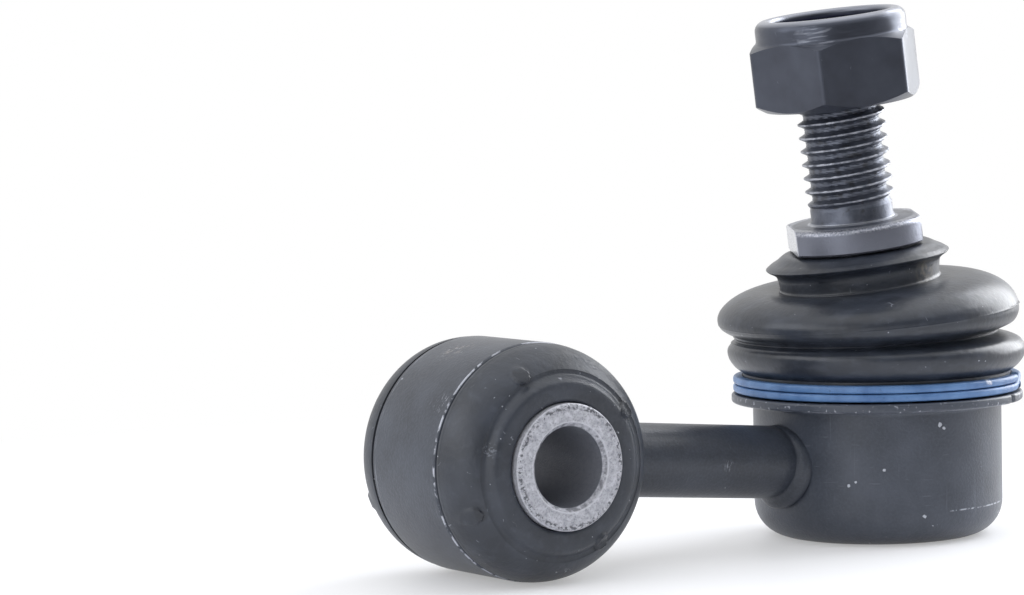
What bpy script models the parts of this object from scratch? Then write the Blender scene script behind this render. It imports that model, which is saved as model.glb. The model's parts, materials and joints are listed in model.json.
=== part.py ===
"""Stabilizer link: a short rod with a rubber-bushed eye at one end and a ball joint at the other.

Lengths are in metres. The origin is the centre of the ball housing's flat base. +Z runs up the
housing, the rod runs towards -X, and the bore of the bush lies along Y. The ball stud leans towards
the bush, as far as REST_LEAN.
"""

from math import asin, cos, degrees, pi, radians, sin, tan

import bmesh
import bpy
from mathutils import Matrix, Vector

MM = 0.001

# Gaps that separate solids which touch, are bonded or slide on the real link
GAP = 0.3 * MM
FACE_GAP = 0.2 * MM

# Eye and bush
EYE_DISTANCE = 50.3 * MM
RING_RADIUS = 12.45 * MM
RING_WALL = 2.0 * MM
RING_LENGTH = 11.9 * MM
RING_EDGE = 0.35 * MM
SLEEVE_RADIUS = 6.55 * MM
SLEEVE_BORE_RADIUS = 4.2 * MM
SLEEVE_LENGTH = 24.7 * MM
SLEEVE_CHAMFER = 0.45 * MM
SLEEVE_STANDS_PROUD = 0.7 * MM
FLANGE_SHORTFALL = 0.1 * MM
SHOULDER_ROUND = 4.2 * MM
SHOULDER_DEPTH = 4.85 * MM
SHOULDER_SHARE = 0.8
SHOULDER_DROP = 0.55 * MM
RUBBER_EDGE = 0.3 * MM

# Rod
ROD_RADIUS = 4.0 * MM
ROD_HEIGHT = 7.7 * MM
UPSET_WIDTH = 1.1 * MM
UPSET_RISE = 1.1 * MM

# Ball and its socket
BALL_RADIUS = 8.0 * MM
SEAT_WALL = 2.0 * MM
SEAT_FLOOR = 1.2 * MM
SEAT_MOUTH_ANGLE = radians(27)
CAVITY_FILLET = 1.5 * MM
CLOSING_RING_THICKNESS = 1.2 * MM
CLOSING_RING_STEP = 1.2 * MM

# Housing cup
HOUSING_WALL = 3.23 * MM
HOUSING_FLOOR = 1.5 * MM
HOUSING_BASE_FILLET = 3.9 * MM
HOUSING_NECK_WALL = 1.4 * MM
ROLLED_LIP = 1.4 * MM
CUP_FLANGE_OVERHANG = 2.37 * MM
CUP_FLANGE_THICKNESS = 1.0 * MM
CUP_NECK_HEIGHT = 2.3 * MM

# Ball stud, measured along its own axis from the ball's centre
REST_LEAN = radians(7.3)
MAX_LEAN = radians(25)
NECK_RADIUS = 4.5 * MM
NECK_LENGTH = 2.0 * MM
NECK_CONE_LENGTH = 5.0 * MM
SHOULDER_RADIUS = 6.1 * MM
COLLAR_RISE = 21.3 * MM
COLLAR_THICKNESS = 2.8 * MM
COLLAR_RADIUS = 8.15 * MM
COLLAR_EDGE = 0.6 * MM
COLLAR_FLATS = 14.0 * MM
COLLAR_TURN = radians(-31)
THREAD_RADIUS = 4.87 * MM
THREAD_LENGTH = 18.9 * MM
THREAD_END_CHAMFER = 0.9 * MM
SHANK_DEPTH = 0.3 * MM
SHANK_LENGTH = 1.75 * MM
SHANK_FILLET = 0.5 * MM

# Dust boot and its rings
BOOT_WALL = 1.4 * MM
LOWER_FOLD_DEPTH = 1.65 * MM
LOWER_FOLD_RISE = 4.35 * MM
LOWER_FOLD_ROUND = 1.4 * MM
WAIST_DEPTH = 0.35 * MM
WAIST_SHARE = 0.5
WAIST_ROUND = 0.6 * MM
FOLD_PITCH = 4.35 * MM
UPPER_FOLD_DEPTH = 1.8 * MM
DOME_RISE = 3.5 * MM
DOME_FULLNESS = 2.15
LIP_FLARE = 1.3 * MM
LIP_DROP = 1.0 * MM
LIP_UNDERCUT = 1.5 * MM
LIP_EDGE = 0.25 * MM
STILL_SHARE = 0.8
FOLLOWING_RISE = 3.5 * MM
TOP_RING_WALL = 0.8 * MM
TOP_RING_LENGTH = 3.0 * MM
CLAMP_WIRE_WIDTH = 0.8 * MM
CLAMP_WIRE_HEIGHT = 0.85 * MM
CLAMP_TURN_GAP = 0.08 * MM
CLAMP_END_TURN = radians(-76)

# Lock nut
NUT_FLATS = 17.0 * MM
NUT_HEIGHT = 10.0 * MM
NUT_HEX_HEIGHT = 7.6 * MM
NUT_RIM_RADIUS = 8.35 * MM
NUT_MOUTH_RADIUS = 6.65 * MM
NUT_RIM_ROUND = 1.1 * MM
NUT_ROLLED_WALL = 1.0 * MM
NUT_TOP_CHAMFER = radians(30)
NUT_FACE_CHAMFER = radians(33)
NUT_BORE_CHAMFER = 0.5 * MM
NUT_REST_GAP = 13.1 * MM
NUT_TURN = radians(-18)
INSERT_THICKNESS = 1.7 * MM
INSERT_HOLD = 0.45 * MM

# Sizes that follow from the ones above
SEAT_BORE_RADIUS = BALL_RADIUS + GAP
SEAT_RADIUS = SEAT_BORE_RADIUS + SEAT_WALL
CAVITY_RADIUS = SEAT_RADIUS + GAP
HOUSING_RADIUS = CAVITY_RADIUS + HOUSING_WALL
SEAT_BASE = HOUSING_FLOOR + GAP
BALL_HEIGHT = SEAT_BASE + SEAT_FLOOR + SEAT_BORE_RADIUS
SEAT_TOP = BALL_HEIGHT + SEAT_BORE_RADIUS * sin(SEAT_MOUTH_ANGLE)
RING_SEAT = SEAT_TOP + FACE_GAP
LIP_UNDERSIDE = RING_SEAT + CLOSING_RING_THICKNESS + 2 * FACE_GAP
HOUSING_TOP = LIP_UNDERSIDE + ROLLED_LIP
GROOVE_RADIUS = CAVITY_RADIUS + CLOSING_RING_STEP
CUP_NECK_RADIUS = GROOVE_RADIUS + HOUSING_NECK_WALL
CUP_FLANGE_RADIUS = HOUSING_RADIUS + CUP_FLANGE_OVERHANG
CUP_FLANGE_TOP = HOUSING_TOP - CUP_NECK_HEIGHT
CUP_FLANGE_BOTTOM = CUP_FLANGE_TOP - CUP_FLANGE_THICKNESS

EYE_HEIGHT = RING_RADIUS
RUBBER_FLANGE_RADIUS = RING_RADIUS - FLANGE_SHORTFALL
RUBBER_HALF_LENGTH = SLEEVE_LENGTH / 2 - SLEEVE_STANDS_PROUD
ROD_SPAN = Vector((-EYE_DISTANCE, 0, EYE_HEIGHT - ROD_HEIGHT))

COLLAR_TOP = COLLAR_RISE + COLLAR_THICKNESS
STUD_END = COLLAR_TOP + THREAD_LENGTH
NUT_SEAT = COLLAR_TOP + NUT_REST_GAP

BEAD_BORE_RADIUS = CUP_NECK_RADIUS + GAP
BEAD_RADIUS = BEAD_BORE_RADIUS + BOOT_WALL
BEAD_BASE = CUP_FLANGE_TOP + FACE_GAP
TOP_RING_RADIUS = SHOULDER_RADIUS + GAP + TOP_RING_WALL
BOOT_NECK_BORE_RADIUS = TOP_RING_RADIUS + GAP
BOOT_NECK_RADIUS = BOOT_NECK_BORE_RADIUS + BOOT_WALL
BOOT_TOP = BALL_HEIGHT + COLLAR_RISE - GAP
LIP_HEIGHT = BOOT_TOP - LIP_DROP
LOWER_FOLD_HEIGHT = BEAD_BASE + LOWER_FOLD_RISE
UPPER_FOLD_HEIGHT = LOWER_FOLD_HEIGHT + FOLD_PITCH

# How finely round shapes are divided
BIG_ROUND_STEPS = 40
SMALL_ROUND_STEPS = 32
WIDE_ARC_STEPS = 4
EDGE_ARC_STEPS = 2


def srgb(hex_colour):
    """A hex colour as Blender's linear values."""
    channels = [int(hex_colour[place:place + 2], 16) / 255 for place in (0, 2, 4)]
    linear = [c / 12.92 if c <= 0.04045 else ((c + 0.055) / 1.055) ** 2.4 for c in channels]
    return (*linear, 1.0)


def finish(name, hex_colour, roughness, metallic=0.0):
    """A material of one plain finish."""
    material = bpy.data.materials.new(name)
    material.use_nodes = True
    shader = material.node_tree.nodes["Principled BSDF"]
    shader.inputs["Base Color"].default_value = srgb(hex_colour)
    shader.inputs["Roughness"].default_value = roughness
    shader.inputs["Metallic"].default_value = metallic
    material.diffuse_color = srgb(hex_colour)
    return material


def clear_scene():
    for thing in list(bpy.context.scene.objects):
        bpy.data.objects.remove(thing)


def new_collection(name):
    collection = bpy.data.collections.new(name)
    bpy.context.scene.collection.children.link(collection)
    return collection


def arc(centre_r, centre_z, radius, start, end, steps, squash=1.0):
    """Points of an arc in the profile plane, from one angle to another, in degrees."""
    points = []
    for step in range(steps + 1):
        angle = radians(start + (end - start) * step / steps)
        points.append((centre_r + radius * cos(angle), centre_z + squash * radius * sin(angle)))
    return points


def rounded(corners):
    """A closed outline of (radius, height) corners, where a third value rounds the corner."""
    outline = []
    for index, corner in enumerate(corners):
        here = Vector(corner[:2])
        radius = corner[2] if len(corner) > 2 else 0
        if radius == 0:
            outline.append(tuple(here))
            continue
        to_last = (Vector(corners[index - 1][:2]) - here).normalized()
        to_next = (Vector(corners[(index + 1) % len(corners)][:2]) - here).normalized()
        half_angle = to_last.angle(to_next) / 2
        centre = here + (to_last + to_next).normalized() * radius / sin(half_angle)
        arm = here + to_last * radius / tan(half_angle) - centre
        sweep = pi - 2 * half_angle
        if to_last.cross(to_next) > 0:
            sweep = -sweep
        steps = WIDE_ARC_STEPS if radius > MM else EDGE_ARC_STEPS
        for step in range(steps + 1):
            outline.append(tuple(centre + Matrix.Rotation(sweep * step / steps, 2) @ arm))
    return outline


def evaluated_mesh(thing):
    """The object's mesh with its modifiers applied, as a new mesh."""
    bpy.context.view_layer.update()
    depsgraph = bpy.context.evaluated_depsgraph_get()
    return bpy.data.meshes.new_from_object(thing.evaluated_get(depsgraph))


def turned(name, outline, sides, material, open_ended=False):
    """A turned shape: an outline that runs down its outer side, swept round the Z axis.

    An outline that starts and ends on the axis is open_ended; any other one closes on itself.
    """
    mesh = bpy.data.meshes.new(name)
    bm = bmesh.new()
    verts = [bm.verts.new((r, 0, z)) for r, z in outline]
    for first, second in zip(verts, verts[1:]):
        bm.edges.new((first, second))
    if not open_ended:
        bm.edges.new((verts[-1], verts[0]))
    bm.to_mesh(mesh)
    bm.free()
    thing = bpy.data.objects.new(name, mesh)
    bpy.context.scene.collection.objects.link(thing)
    screw = thing.modifiers.new("Turn", "SCREW")
    screw.steps = sides
    screw.render_steps = sides
    screw.use_merge_vertices = True
    screw.merge_threshold = 0.00001
    thing.data = evaluated_mesh(thing)
    thing.modifiers.remove(screw)
    bpy.context.scene.collection.objects.unlink(thing)
    thing.data.name = name
    thing.data.shade_smooth()
    thing.data.set_sharp_from_angle(angle=radians(35))
    thing.data.materials.append(material)
    return thing


def place(thing, collection, parent=None, location=(0, 0, 0), rotation=(0, 0, 0)):
    collection.objects.link(thing)
    thing.parent = parent
    thing.location = location
    thing.rotation_euler = rotation
    return thing


def axis_empty(name, collection, location, rotation):
    """An empty whose Z axis is the axis that pieces are built round or turn on."""
    empty = bpy.data.objects.new(name, None)
    empty.empty_display_size = BALL_RADIUS
    return place(empty, collection, None, location, rotation)


def as_cutter(thing, collection, parent=None, location=(0, 0, 0), rotation=(0, 0, 0)):
    place(thing, collection, parent, location, rotation)
    thing.hide_render = True
    thing.display_type = "WIRE"
    return thing


def block(name, size):
    """A box of the given size, centred on its origin."""
    mesh = bpy.data.meshes.new(name)
    bm = bmesh.new()
    bmesh.ops.create_cube(bm, size=1)
    bmesh.ops.scale(bm, vec=size, verts=bm.verts)
    bm.to_mesh(mesh)
    bm.free()
    return bpy.data.objects.new(name, mesh)


def prism(name, radius, depth, sides):
    """A regular prism along Z, centred on its origin, with its first corner on +X."""
    mesh = bpy.data.meshes.new(name)
    bm = bmesh.new()
    quarter_turn = Matrix.Rotation(-pi / 2, 4, "Z")
    bmesh.ops.create_cone(bm, cap_ends=True, segments=sides, radius1=radius, radius2=radius, depth=depth,
                          matrix=quarter_turn)
    bm.to_mesh(mesh)
    bm.free()
    return bpy.data.objects.new(name, mesh)


def combine(thing, other, operation):
    boolean = thing.modifiers.new(other.name, "BOOLEAN")
    boolean.operation = operation
    boolean.object = other


def mirrored_outline(half):
    """A ring's whole outline from the half above its middle plane, which runs from bore to rim."""
    return half + [(r, -z) for r, z in reversed(half)]


def build_eye_ring(parts, bush_axis):
    """The steel tube of the eye, cut to length, with its edges broken."""
    half = RING_LENGTH / 2
    bore = RING_RADIUS - RING_WALL
    outline = rounded([
        (bore, half, RING_EDGE),
        (RING_RADIUS, half, RING_EDGE),
        (RING_RADIUS, -half, RING_EDGE),
        (bore, -half, RING_EDGE),
    ])
    steel = finish("painted_steel", "3f4349", 0.5, 0.3)
    place(turned("eye_ring", outline, BIG_ROUND_STEPS, steel), parts, bush_axis)


def build_bush_rubber(parts, bush_axis):
    """The moulded rubber between ring and sleeve, with a full round flange over each ring edge."""
    bore = SLEEVE_RADIUS + GAP
    waist = RING_RADIUS - RING_WALL - GAP
    flange_base = RING_LENGTH / 2 + FACE_GAP
    end = RUBBER_HALF_LENGTH
    shoulder_round = min(SHOULDER_ROUND, SHOULDER_SHARE * (RUBBER_FLANGE_RADIUS - bore))
    shoulder = arc(
        RUBBER_FLANGE_RADIUS - shoulder_round,
        end - SHOULDER_DROP - SHOULDER_DEPTH,
        shoulder_round, 75, 0, 5, squash=SHOULDER_DEPTH / shoulder_round,
    )
    half = [
        (bore, end - RUBBER_EDGE),
        (bore + RUBBER_EDGE, end),
        (shoulder[0][0] - RUBBER_EDGE, end),
    ]
    half += shoulder
    half += [
        (RUBBER_FLANGE_RADIUS - RUBBER_EDGE / 2, flange_base),
        (waist, flange_base),
    ]
    rubber = finish("bush_rubber", "34373c", 0.62)
    place(turned("bush_rubber", mirrored_outline(half), BIG_ROUND_STEPS, rubber), parts, bush_axis)


def build_inner_sleeve(parts, bush_axis):
    """The steel sleeve that the bolt goes through, a little longer than the rubber."""
    half = SLEEVE_LENGTH / 2
    mouth = SLEEVE_BORE_RADIUS + SLEEVE_CHAMFER
    outline = mirrored_outline([
        (SLEEVE_BORE_RADIUS, half - SLEEVE_CHAMFER),
        (mouth, half),
        (SLEEVE_RADIUS - SLEEVE_CHAMFER / 2, half),
        (SLEEVE_RADIUS, half - SLEEVE_CHAMFER / 2),
    ])
    steel = finish("bare_steel", "a6a6aa", 0.42, 0.9)
    place(turned("inner_sleeve", outline, SMALL_ROUND_STEPS, steel), parts, bush_axis)


def build_rod(parts, cutters, rod_axis, bush_axis):
    """The round rod, welded to eye and housing: each end is upset into a low ring by the weld."""
    length = ROD_SPAN.length
    upset = ROD_RADIUS + UPSET_RISE
    eye_end = length - RING_RADIUS - UPSET_WIDTH
    housing_end = HOUSING_RADIUS + UPSET_WIDTH
    outline = rounded([
        (0, length),
        (upset, length),
        (upset, eye_end, UPSET_RISE / 2),
        (ROD_RADIUS, eye_end, UPSET_RISE / 3),
        (ROD_RADIUS, housing_end, UPSET_RISE / 3),
        (upset, housing_end, UPSET_RISE / 2),
        (upset, 0),
        (0, 0),
    ])
    steel = finish("painted_rod_steel", "3b3f45", 0.5, 0.3)
    rod = place(turned("rod", outline, SMALL_ROUND_STEPS, steel, open_ended=True), parts, rod_axis)
    depth = 4 * upset
    eye_cope = prism("eye_cope", RING_RADIUS + GAP, depth, BIG_ROUND_STEPS)
    housing_cope = prism("housing_cope", HOUSING_RADIUS + GAP, depth, BIG_ROUND_STEPS)
    combine(rod, as_cutter(eye_cope, cutters, bush_axis), "DIFFERENCE")
    combine(rod, as_cutter(housing_cope, cutters, None, (0, 0, ROD_HEIGHT)), "DIFFERENCE")


def build_ball_housing(parts):
    """The forged cup: a flat closed base, a flange for the boot, and a lip rolled over the ring."""
    outline = rounded([
        (0, HOUSING_FLOOR),
        (CAVITY_RADIUS, HOUSING_FLOOR, CAVITY_FILLET),
        (CAVITY_RADIUS, RING_SEAT),
        (GROOVE_RADIUS, RING_SEAT),
        (GROOVE_RADIUS, LIP_UNDERSIDE),
        (CAVITY_RADIUS, LIP_UNDERSIDE),
        (CAVITY_RADIUS, HOUSING_TOP, ROLLED_LIP / 4),
        (CUP_NECK_RADIUS, HOUSING_TOP, ROLLED_LIP / 2),
        (CUP_NECK_RADIUS, CUP_FLANGE_TOP),
        (CUP_FLANGE_RADIUS, CUP_FLANGE_TOP, CUP_FLANGE_THICKNESS / 3),
        (CUP_FLANGE_RADIUS, CUP_FLANGE_BOTTOM, CUP_FLANGE_THICKNESS / 3),
        (HOUSING_RADIUS, CUP_FLANGE_BOTTOM, CUP_FLANGE_THICKNESS / 2),
        (HOUSING_RADIUS, 0, HOUSING_BASE_FILLET),
        (0, 0),
    ])
    steel = finish("painted_cup_steel", "43464c", 0.5, 0.3)
    place(turned("ball_housing", outline, BIG_ROUND_STEPS, steel, open_ended=True), parts)


def build_ball_seat(parts):
    """The plastic socket pressed into the cup, which wraps the ball to above its equator."""
    mouth = SEAT_BORE_RADIUS * cos(SEAT_MOUTH_ANGLE)
    sphere = arc(0, BALL_HEIGHT, SEAT_BORE_RADIUS, -90, degrees(SEAT_MOUTH_ANGLE), 8)
    outline = sphere + rounded([
        (mouth, SEAT_TOP),
        (SEAT_RADIUS, SEAT_TOP),
        (SEAT_RADIUS, SEAT_BASE, CAVITY_FILLET),
        (0, SEAT_BASE),
    ])[1:]
    plastic = finish("seat_plastic", "d8d4c6", 0.4)
    place(turned("ball_seat", outline, SMALL_ROUND_STEPS, plastic, open_ended=True), parts)


def mouth_radius(height, neck_radius, clearance):
    """How wide an opening must be, at a height over the ball, for a neck at full lean to clear it."""
    return (height * sin(MAX_LEAN) + neck_radius) / cos(MAX_LEAN) + clearance


def build_closing_ring(parts):
    """The steel ring that shuts the socket, trapped under the cup's rolled lip."""
    base = RING_SEAT + FACE_GAP
    top = base + CLOSING_RING_THICKNESS
    outer = GROOVE_RADIUS - GAP
    bottom_mouth = mouth_radius(base - BALL_HEIGHT, NECK_RADIUS, GAP)
    top_mouth = mouth_radius(top - BALL_HEIGHT, NECK_RADIUS, GAP)
    outline = [
        (top_mouth, top),
        (outer, top),
        (outer, base),
        (bottom_mouth, base),
    ]
    steel = finish("ring_steel", "6a6c70", 0.4, 0.9)
    place(turned("closing_ring", outline, SMALL_ROUND_STEPS, steel), parts)


def build_ball_stud(parts, cutters, stud_axis):
    """The stud, forged and turned in one piece: ball, neck, shoulder, flatted collar and thread."""
    neck_start = (BALL_RADIUS ** 2 - NECK_RADIUS ** 2) ** 0.5
    cone_start = neck_start + NECK_LENGTH
    cone_end = cone_start + NECK_CONE_LENGTH
    shank = THREAD_RADIUS - SHANK_DEPTH
    outline = [
        (0, STUD_END),
        (THREAD_RADIUS - THREAD_END_CHAMFER, STUD_END),
        (THREAD_RADIUS, STUD_END - THREAD_END_CHAMFER),
        (THREAD_RADIUS, COLLAR_TOP + SHANK_LENGTH),
        (shank, COLLAR_TOP + SHANK_LENGTH - SHANK_DEPTH),
        (shank, COLLAR_TOP + SHANK_FILLET),
        (shank + SHANK_FILLET, COLLAR_TOP),
        (COLLAR_RADIUS - COLLAR_EDGE, COLLAR_TOP),
        (COLLAR_RADIUS - COLLAR_EDGE / 4, COLLAR_TOP - COLLAR_EDGE / 4),
        (COLLAR_RADIUS, COLLAR_TOP - COLLAR_EDGE),
        (COLLAR_RADIUS, COLLAR_RISE + COLLAR_EDGE / 3),
        (COLLAR_RADIUS - COLLAR_EDGE / 3, COLLAR_RISE),
        (SHOULDER_RADIUS, COLLAR_RISE),
        (SHOULDER_RADIUS, cone_end),
        (NECK_RADIUS, cone_start),
    ]
    neck_angle = degrees(asin(neck_start / BALL_RADIUS))
    outline += arc(0, 0, BALL_RADIUS, neck_angle, -90, 11)
    steel = finish("stud_steel", "5c5f66", 0.4, 0.85)
    stud = place(turned("ball_stud", outline, SMALL_ROUND_STEPS, steel, open_ended=True), parts, stud_axis)
    middle = COLLAR_RISE + COLLAR_THICKNESS / 2
    depth = COLLAR_THICKNESS + FACE_GAP / 10
    reach = COLLAR_FLATS / 2 + COLLAR_RADIUS / 2
    for side, turn in (("near", COLLAR_TURN), ("far", COLLAR_TURN + pi)):
        cutter = block("collar_flat_" + side, (COLLAR_RADIUS, 3 * COLLAR_RADIUS, depth))
        spot = (reach * cos(turn), reach * sin(turn), middle)
        combine(stud, as_cutter(cutter, cutters, stud_axis, spot, (0, 0, turn)), "DIFFERENCE")


def dome(centre_r, centre_z, width, rise, steps):
    """Points of a full-shouldered dome, from its crown at centre_r outwards and down to its rim."""
    points = []
    for step in range(1, steps):
        angle = radians(90 - 90 * step / steps)
        reach = cos(angle) ** (2 / DOME_FULLNESS)
        height = sin(angle) ** (2 / DOME_FULLNESS)
        points.append((centre_r + width * reach, centre_z + rise * height))
    return points


def boot_outline():
    """The boot's section, as if its stud stood upright: the outside downwards, then the inside up."""
    lower_radius = BEAD_RADIUS + LOWER_FOLD_DEPTH
    waist_radius = BEAD_RADIUS - WAIST_DEPTH
    upper_radius = BEAD_RADIUS + UPPER_FOLD_DEPTH
    waist_height = LOWER_FOLD_HEIGHT + FOLD_PITCH * WAIST_SHARE
    dome_width = upper_radius - BOOT_NECK_RADIUS
    neck_base = UPPER_FOLD_HEIGHT + DOME_RISE
    bead_top = BEAD_BASE + 2 * CLAMP_WIRE_HEIGHT + CLAMP_TURN_GAP
    seal_radius = SHOULDER_RADIUS + GAP
    lip_radius = BOOT_NECK_RADIUS + LIP_FLARE
    lower_squash = (waist_height - LOWER_FOLD_HEIGHT) / (LOWER_FOLD_ROUND + GAP / 2)
    outside = [
        (seal_radius, BOOT_TOP),
        (COLLAR_RADIUS, BOOT_TOP),
        (lip_radius - LIP_EDGE, LIP_HEIGHT + LIP_EDGE),
        (lip_radius, LIP_HEIGHT),
        (lip_radius - LIP_EDGE, LIP_HEIGHT - LIP_EDGE),
        (BOOT_NECK_RADIUS + LIP_EDGE, LIP_HEIGHT - LIP_UNDERCUT / 2),
        (BOOT_NECK_RADIUS, neck_base + LIP_EDGE),
    ]
    outside += dome(BOOT_NECK_RADIUS, UPPER_FOLD_HEIGHT, dome_width, DOME_RISE, 8)
    outside += [
        (upper_radius, UPPER_FOLD_HEIGHT),
        (upper_radius - WAIST_ROUND / 3, UPPER_FOLD_HEIGHT - WAIST_ROUND),
        (upper_radius - WAIST_ROUND, waist_height + 2 * WAIST_ROUND),
        (waist_radius + WAIST_ROUND, waist_height + WAIST_ROUND),
        (waist_radius, waist_height),
        (waist_radius + WAIST_ROUND, waist_height - WAIST_ROUND),
    ]
    outside += arc(lower_radius - LOWER_FOLD_ROUND, LOWER_FOLD_HEIGHT, LOWER_FOLD_ROUND, 60, -60, 4,
                   squash=lower_squash)
    outside += [
        (BEAD_RADIUS, bead_top + LIP_EDGE),
        (BEAD_RADIUS, BEAD_BASE),
        (BEAD_BORE_RADIUS, BEAD_BASE),
    ]
    inside = [
        (BEAD_BORE_RADIUS, bead_top),
        (lower_radius - BOOT_WALL, LOWER_FOLD_HEIGHT - WAIST_ROUND),
        (lower_radius - BOOT_WALL, LOWER_FOLD_HEIGHT + WAIST_ROUND),
        (waist_radius - BOOT_WALL, waist_height - WAIST_ROUND / 2),
        (waist_radius - BOOT_WALL, waist_height + WAIST_ROUND / 2),
        (upper_radius - BOOT_WALL, UPPER_FOLD_HEIGHT - WAIST_ROUND),
    ]
    ceiling = dome(BOOT_NECK_RADIUS, UPPER_FOLD_HEIGHT, dome_width - BOOT_WALL, DOME_RISE - BOOT_WALL, 5)
    inside += reversed(ceiling)
    inside += [
        (BOOT_NECK_BORE_RADIUS + LIP_EDGE, neck_base - BOOT_WALL),
        (BOOT_NECK_BORE_RADIUS, neck_base - BOOT_WALL + LIP_EDGE),
        (BOOT_NECK_BORE_RADIUS, BOOT_TOP - BOOT_WALL),
        (seal_radius, BOOT_TOP - BOOT_WALL),
    ]
    return outside + inside


def build_dust_boot(parts):
    """The two-fold rubber bellows from cup to collar, drawn over to the side that the stud leans to.

    Each height turns about the ball's centre by its share of the lean: none at the clamped bead, and
    all of it at the neck that grips the stud.
    """
    rubber = finish("boot_rubber", "3a3e45", 0.5)
    boot = turned("dust_boot", boot_outline(), BIG_ROUND_STEPS, rubber)
    still = BEAD_BASE + LOWER_FOLD_RISE * STILL_SHARE
    following = UPPER_FOLD_HEIGHT + FOLLOWING_RISE
    ball_centre = Vector((0, 0, BALL_HEIGHT))
    for vertex in boot.data.vertices:
        share = min(max((vertex.co.z - still) / (following - still), 0), 1)
        share = share * share * (3 - 2 * share)
        turn = Matrix.Rotation(-REST_LEAN * share, 3, "Y")
        vertex.co = ball_centre + turn @ (vertex.co - ball_centre)
    place(boot, parts)


def build_boot_clamp_ring(parts):
    """The flat wire wound twice round the boot's bead, with a jog from the lower turn to the upper."""
    inner = BEAD_RADIUS + GAP
    outer = inner + CLAMP_WIRE_WIDTH
    climb = CLAMP_WIRE_HEIGHT + CLAMP_TURN_GAP
    steps_per_turn = BIG_ROUND_STEPS
    total_steps = 2 * steps_per_turn - 1
    mesh = bpy.data.meshes.new("boot_clamp_ring")
    bm = bmesh.new()
    corners = [
        (inner, BEAD_BASE),
        (outer, BEAD_BASE),
        (outer, BEAD_BASE + CLAMP_WIRE_HEIGHT),
        (inner, BEAD_BASE + CLAMP_WIRE_HEIGHT),
    ]
    face = bm.faces.new([bm.verts.new((r, 0, z)) for r, z in corners])
    face.normal_update()
    turn = Matrix.Rotation(2 * pi / steps_per_turn, 3, "Z")
    for step in range(total_steps):
        grown = bmesh.ops.extrude_face_region(bm, geom=[face])
        if step > 0:
            bmesh.ops.delete(bm, geom=[face], context="FACES_ONLY")
        tip = [item for item in grown["geom"] if isinstance(item, bmesh.types.BMVert)]
        face = next(item for item in grown["geom"] if isinstance(item, bmesh.types.BMFace))
        bmesh.ops.rotate(bm, cent=(0, 0, 0), matrix=turn, verts=tip)
        if step == steps_per_turn - 1:
            bmesh.ops.translate(bm, vec=(0, 0, climb), verts=tip)
    bmesh.ops.recalc_face_normals(bm, faces=bm.faces)
    bm.to_mesh(mesh)
    bm.free()
    mesh.shade_smooth()
    mesh.set_sharp_from_angle(angle=radians(35))
    mesh.materials.append(finish("blue_wire", "5b86bd", 0.4, 0.2))
    ring = bpy.data.objects.new("boot_clamp_ring", mesh)
    place(ring, parts, None, (0, 0, 0), (0, 0, CLAMP_END_TURN))


def build_boot_top_ring(parts, stud_axis):
    """The ring in the boot's neck, which turns on the stud's shoulder and keeps the neck round."""
    bore = SHOULDER_RADIUS + GAP
    top = COLLAR_RISE - GAP - BOOT_WALL - GAP
    base = top - TOP_RING_LENGTH
    edge = TOP_RING_WALL / 4
    outline = [
        (bore, top),
        (TOP_RING_RADIUS - edge, top),
        (TOP_RING_RADIUS, top - edge),
        (TOP_RING_RADIUS, base + edge),
        (TOP_RING_RADIUS - edge, base),
        (bore, base),
    ]
    steel = finish("top_ring_steel", "6b5a48", 0.5, 0.7)
    place(turned("boot_top_ring", outline, SMALL_ROUND_STEPS, steel), parts, stud_axis)


def build_nut_body(parts, cutters, stud_axis):
    """The hexagon of the lock nut, with chamfered corners and a rim rolled in over its insert."""
    corner_radius = NUT_FLATS / 3 ** 0.5
    bore = THREAD_RADIUS + GAP
    recess = NUT_MOUTH_RADIUS + INSERT_HOLD
    recess_top = NUT_HEIGHT - NUT_ROLLED_WALL
    recess_base = recess_top - INSERT_THICKNESS - 2 * FACE_GAP
    top_chamfer = (corner_radius - NUT_RIM_RADIUS) * tan(NUT_TOP_CHAMFER)
    face_chamfer = (corner_radius - NUT_FLATS / 2) * tan(NUT_FACE_CHAMFER)
    outline = rounded([
        (bore, recess_base),
        (recess, recess_base),
        (recess, recess_top),
        (NUT_MOUTH_RADIUS, recess_top),
        (NUT_MOUTH_RADIUS, NUT_HEIGHT, NUT_RIM_ROUND / 2),
        (NUT_RIM_RADIUS, NUT_HEIGHT, NUT_RIM_ROUND),
        (NUT_RIM_RADIUS, NUT_HEX_HEIGHT, NUT_RIM_ROUND / 2),
        (corner_radius, NUT_HEX_HEIGHT - top_chamfer),
        (corner_radius, face_chamfer),
        (NUT_FLATS / 2 - FACE_GAP, 0),
        (bore + NUT_BORE_CHAMFER, 0),
        (bore, NUT_BORE_CHAMFER),
    ])
    steel = finish("nut_steel", "3d4048", 0.4, 0.7)
    seat = (0, 0, NUT_SEAT)
    nut = place(turned("nut_body", outline, BIG_ROUND_STEPS, steel), parts, stud_axis, seat)
    nut.rotation_euler = (0, 0, NUT_TURN)
    hexagon = prism("nut_hexagon", corner_radius, 2 * NUT_HEIGHT, 6)
    hexagon.data.transform(Matrix.Translation((0, 0, NUT_HEIGHT / 2)))
    combine(nut, as_cutter(hexagon, cutters, stud_axis, seat, (0, 0, NUT_TURN)), "INTERSECT")


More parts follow.
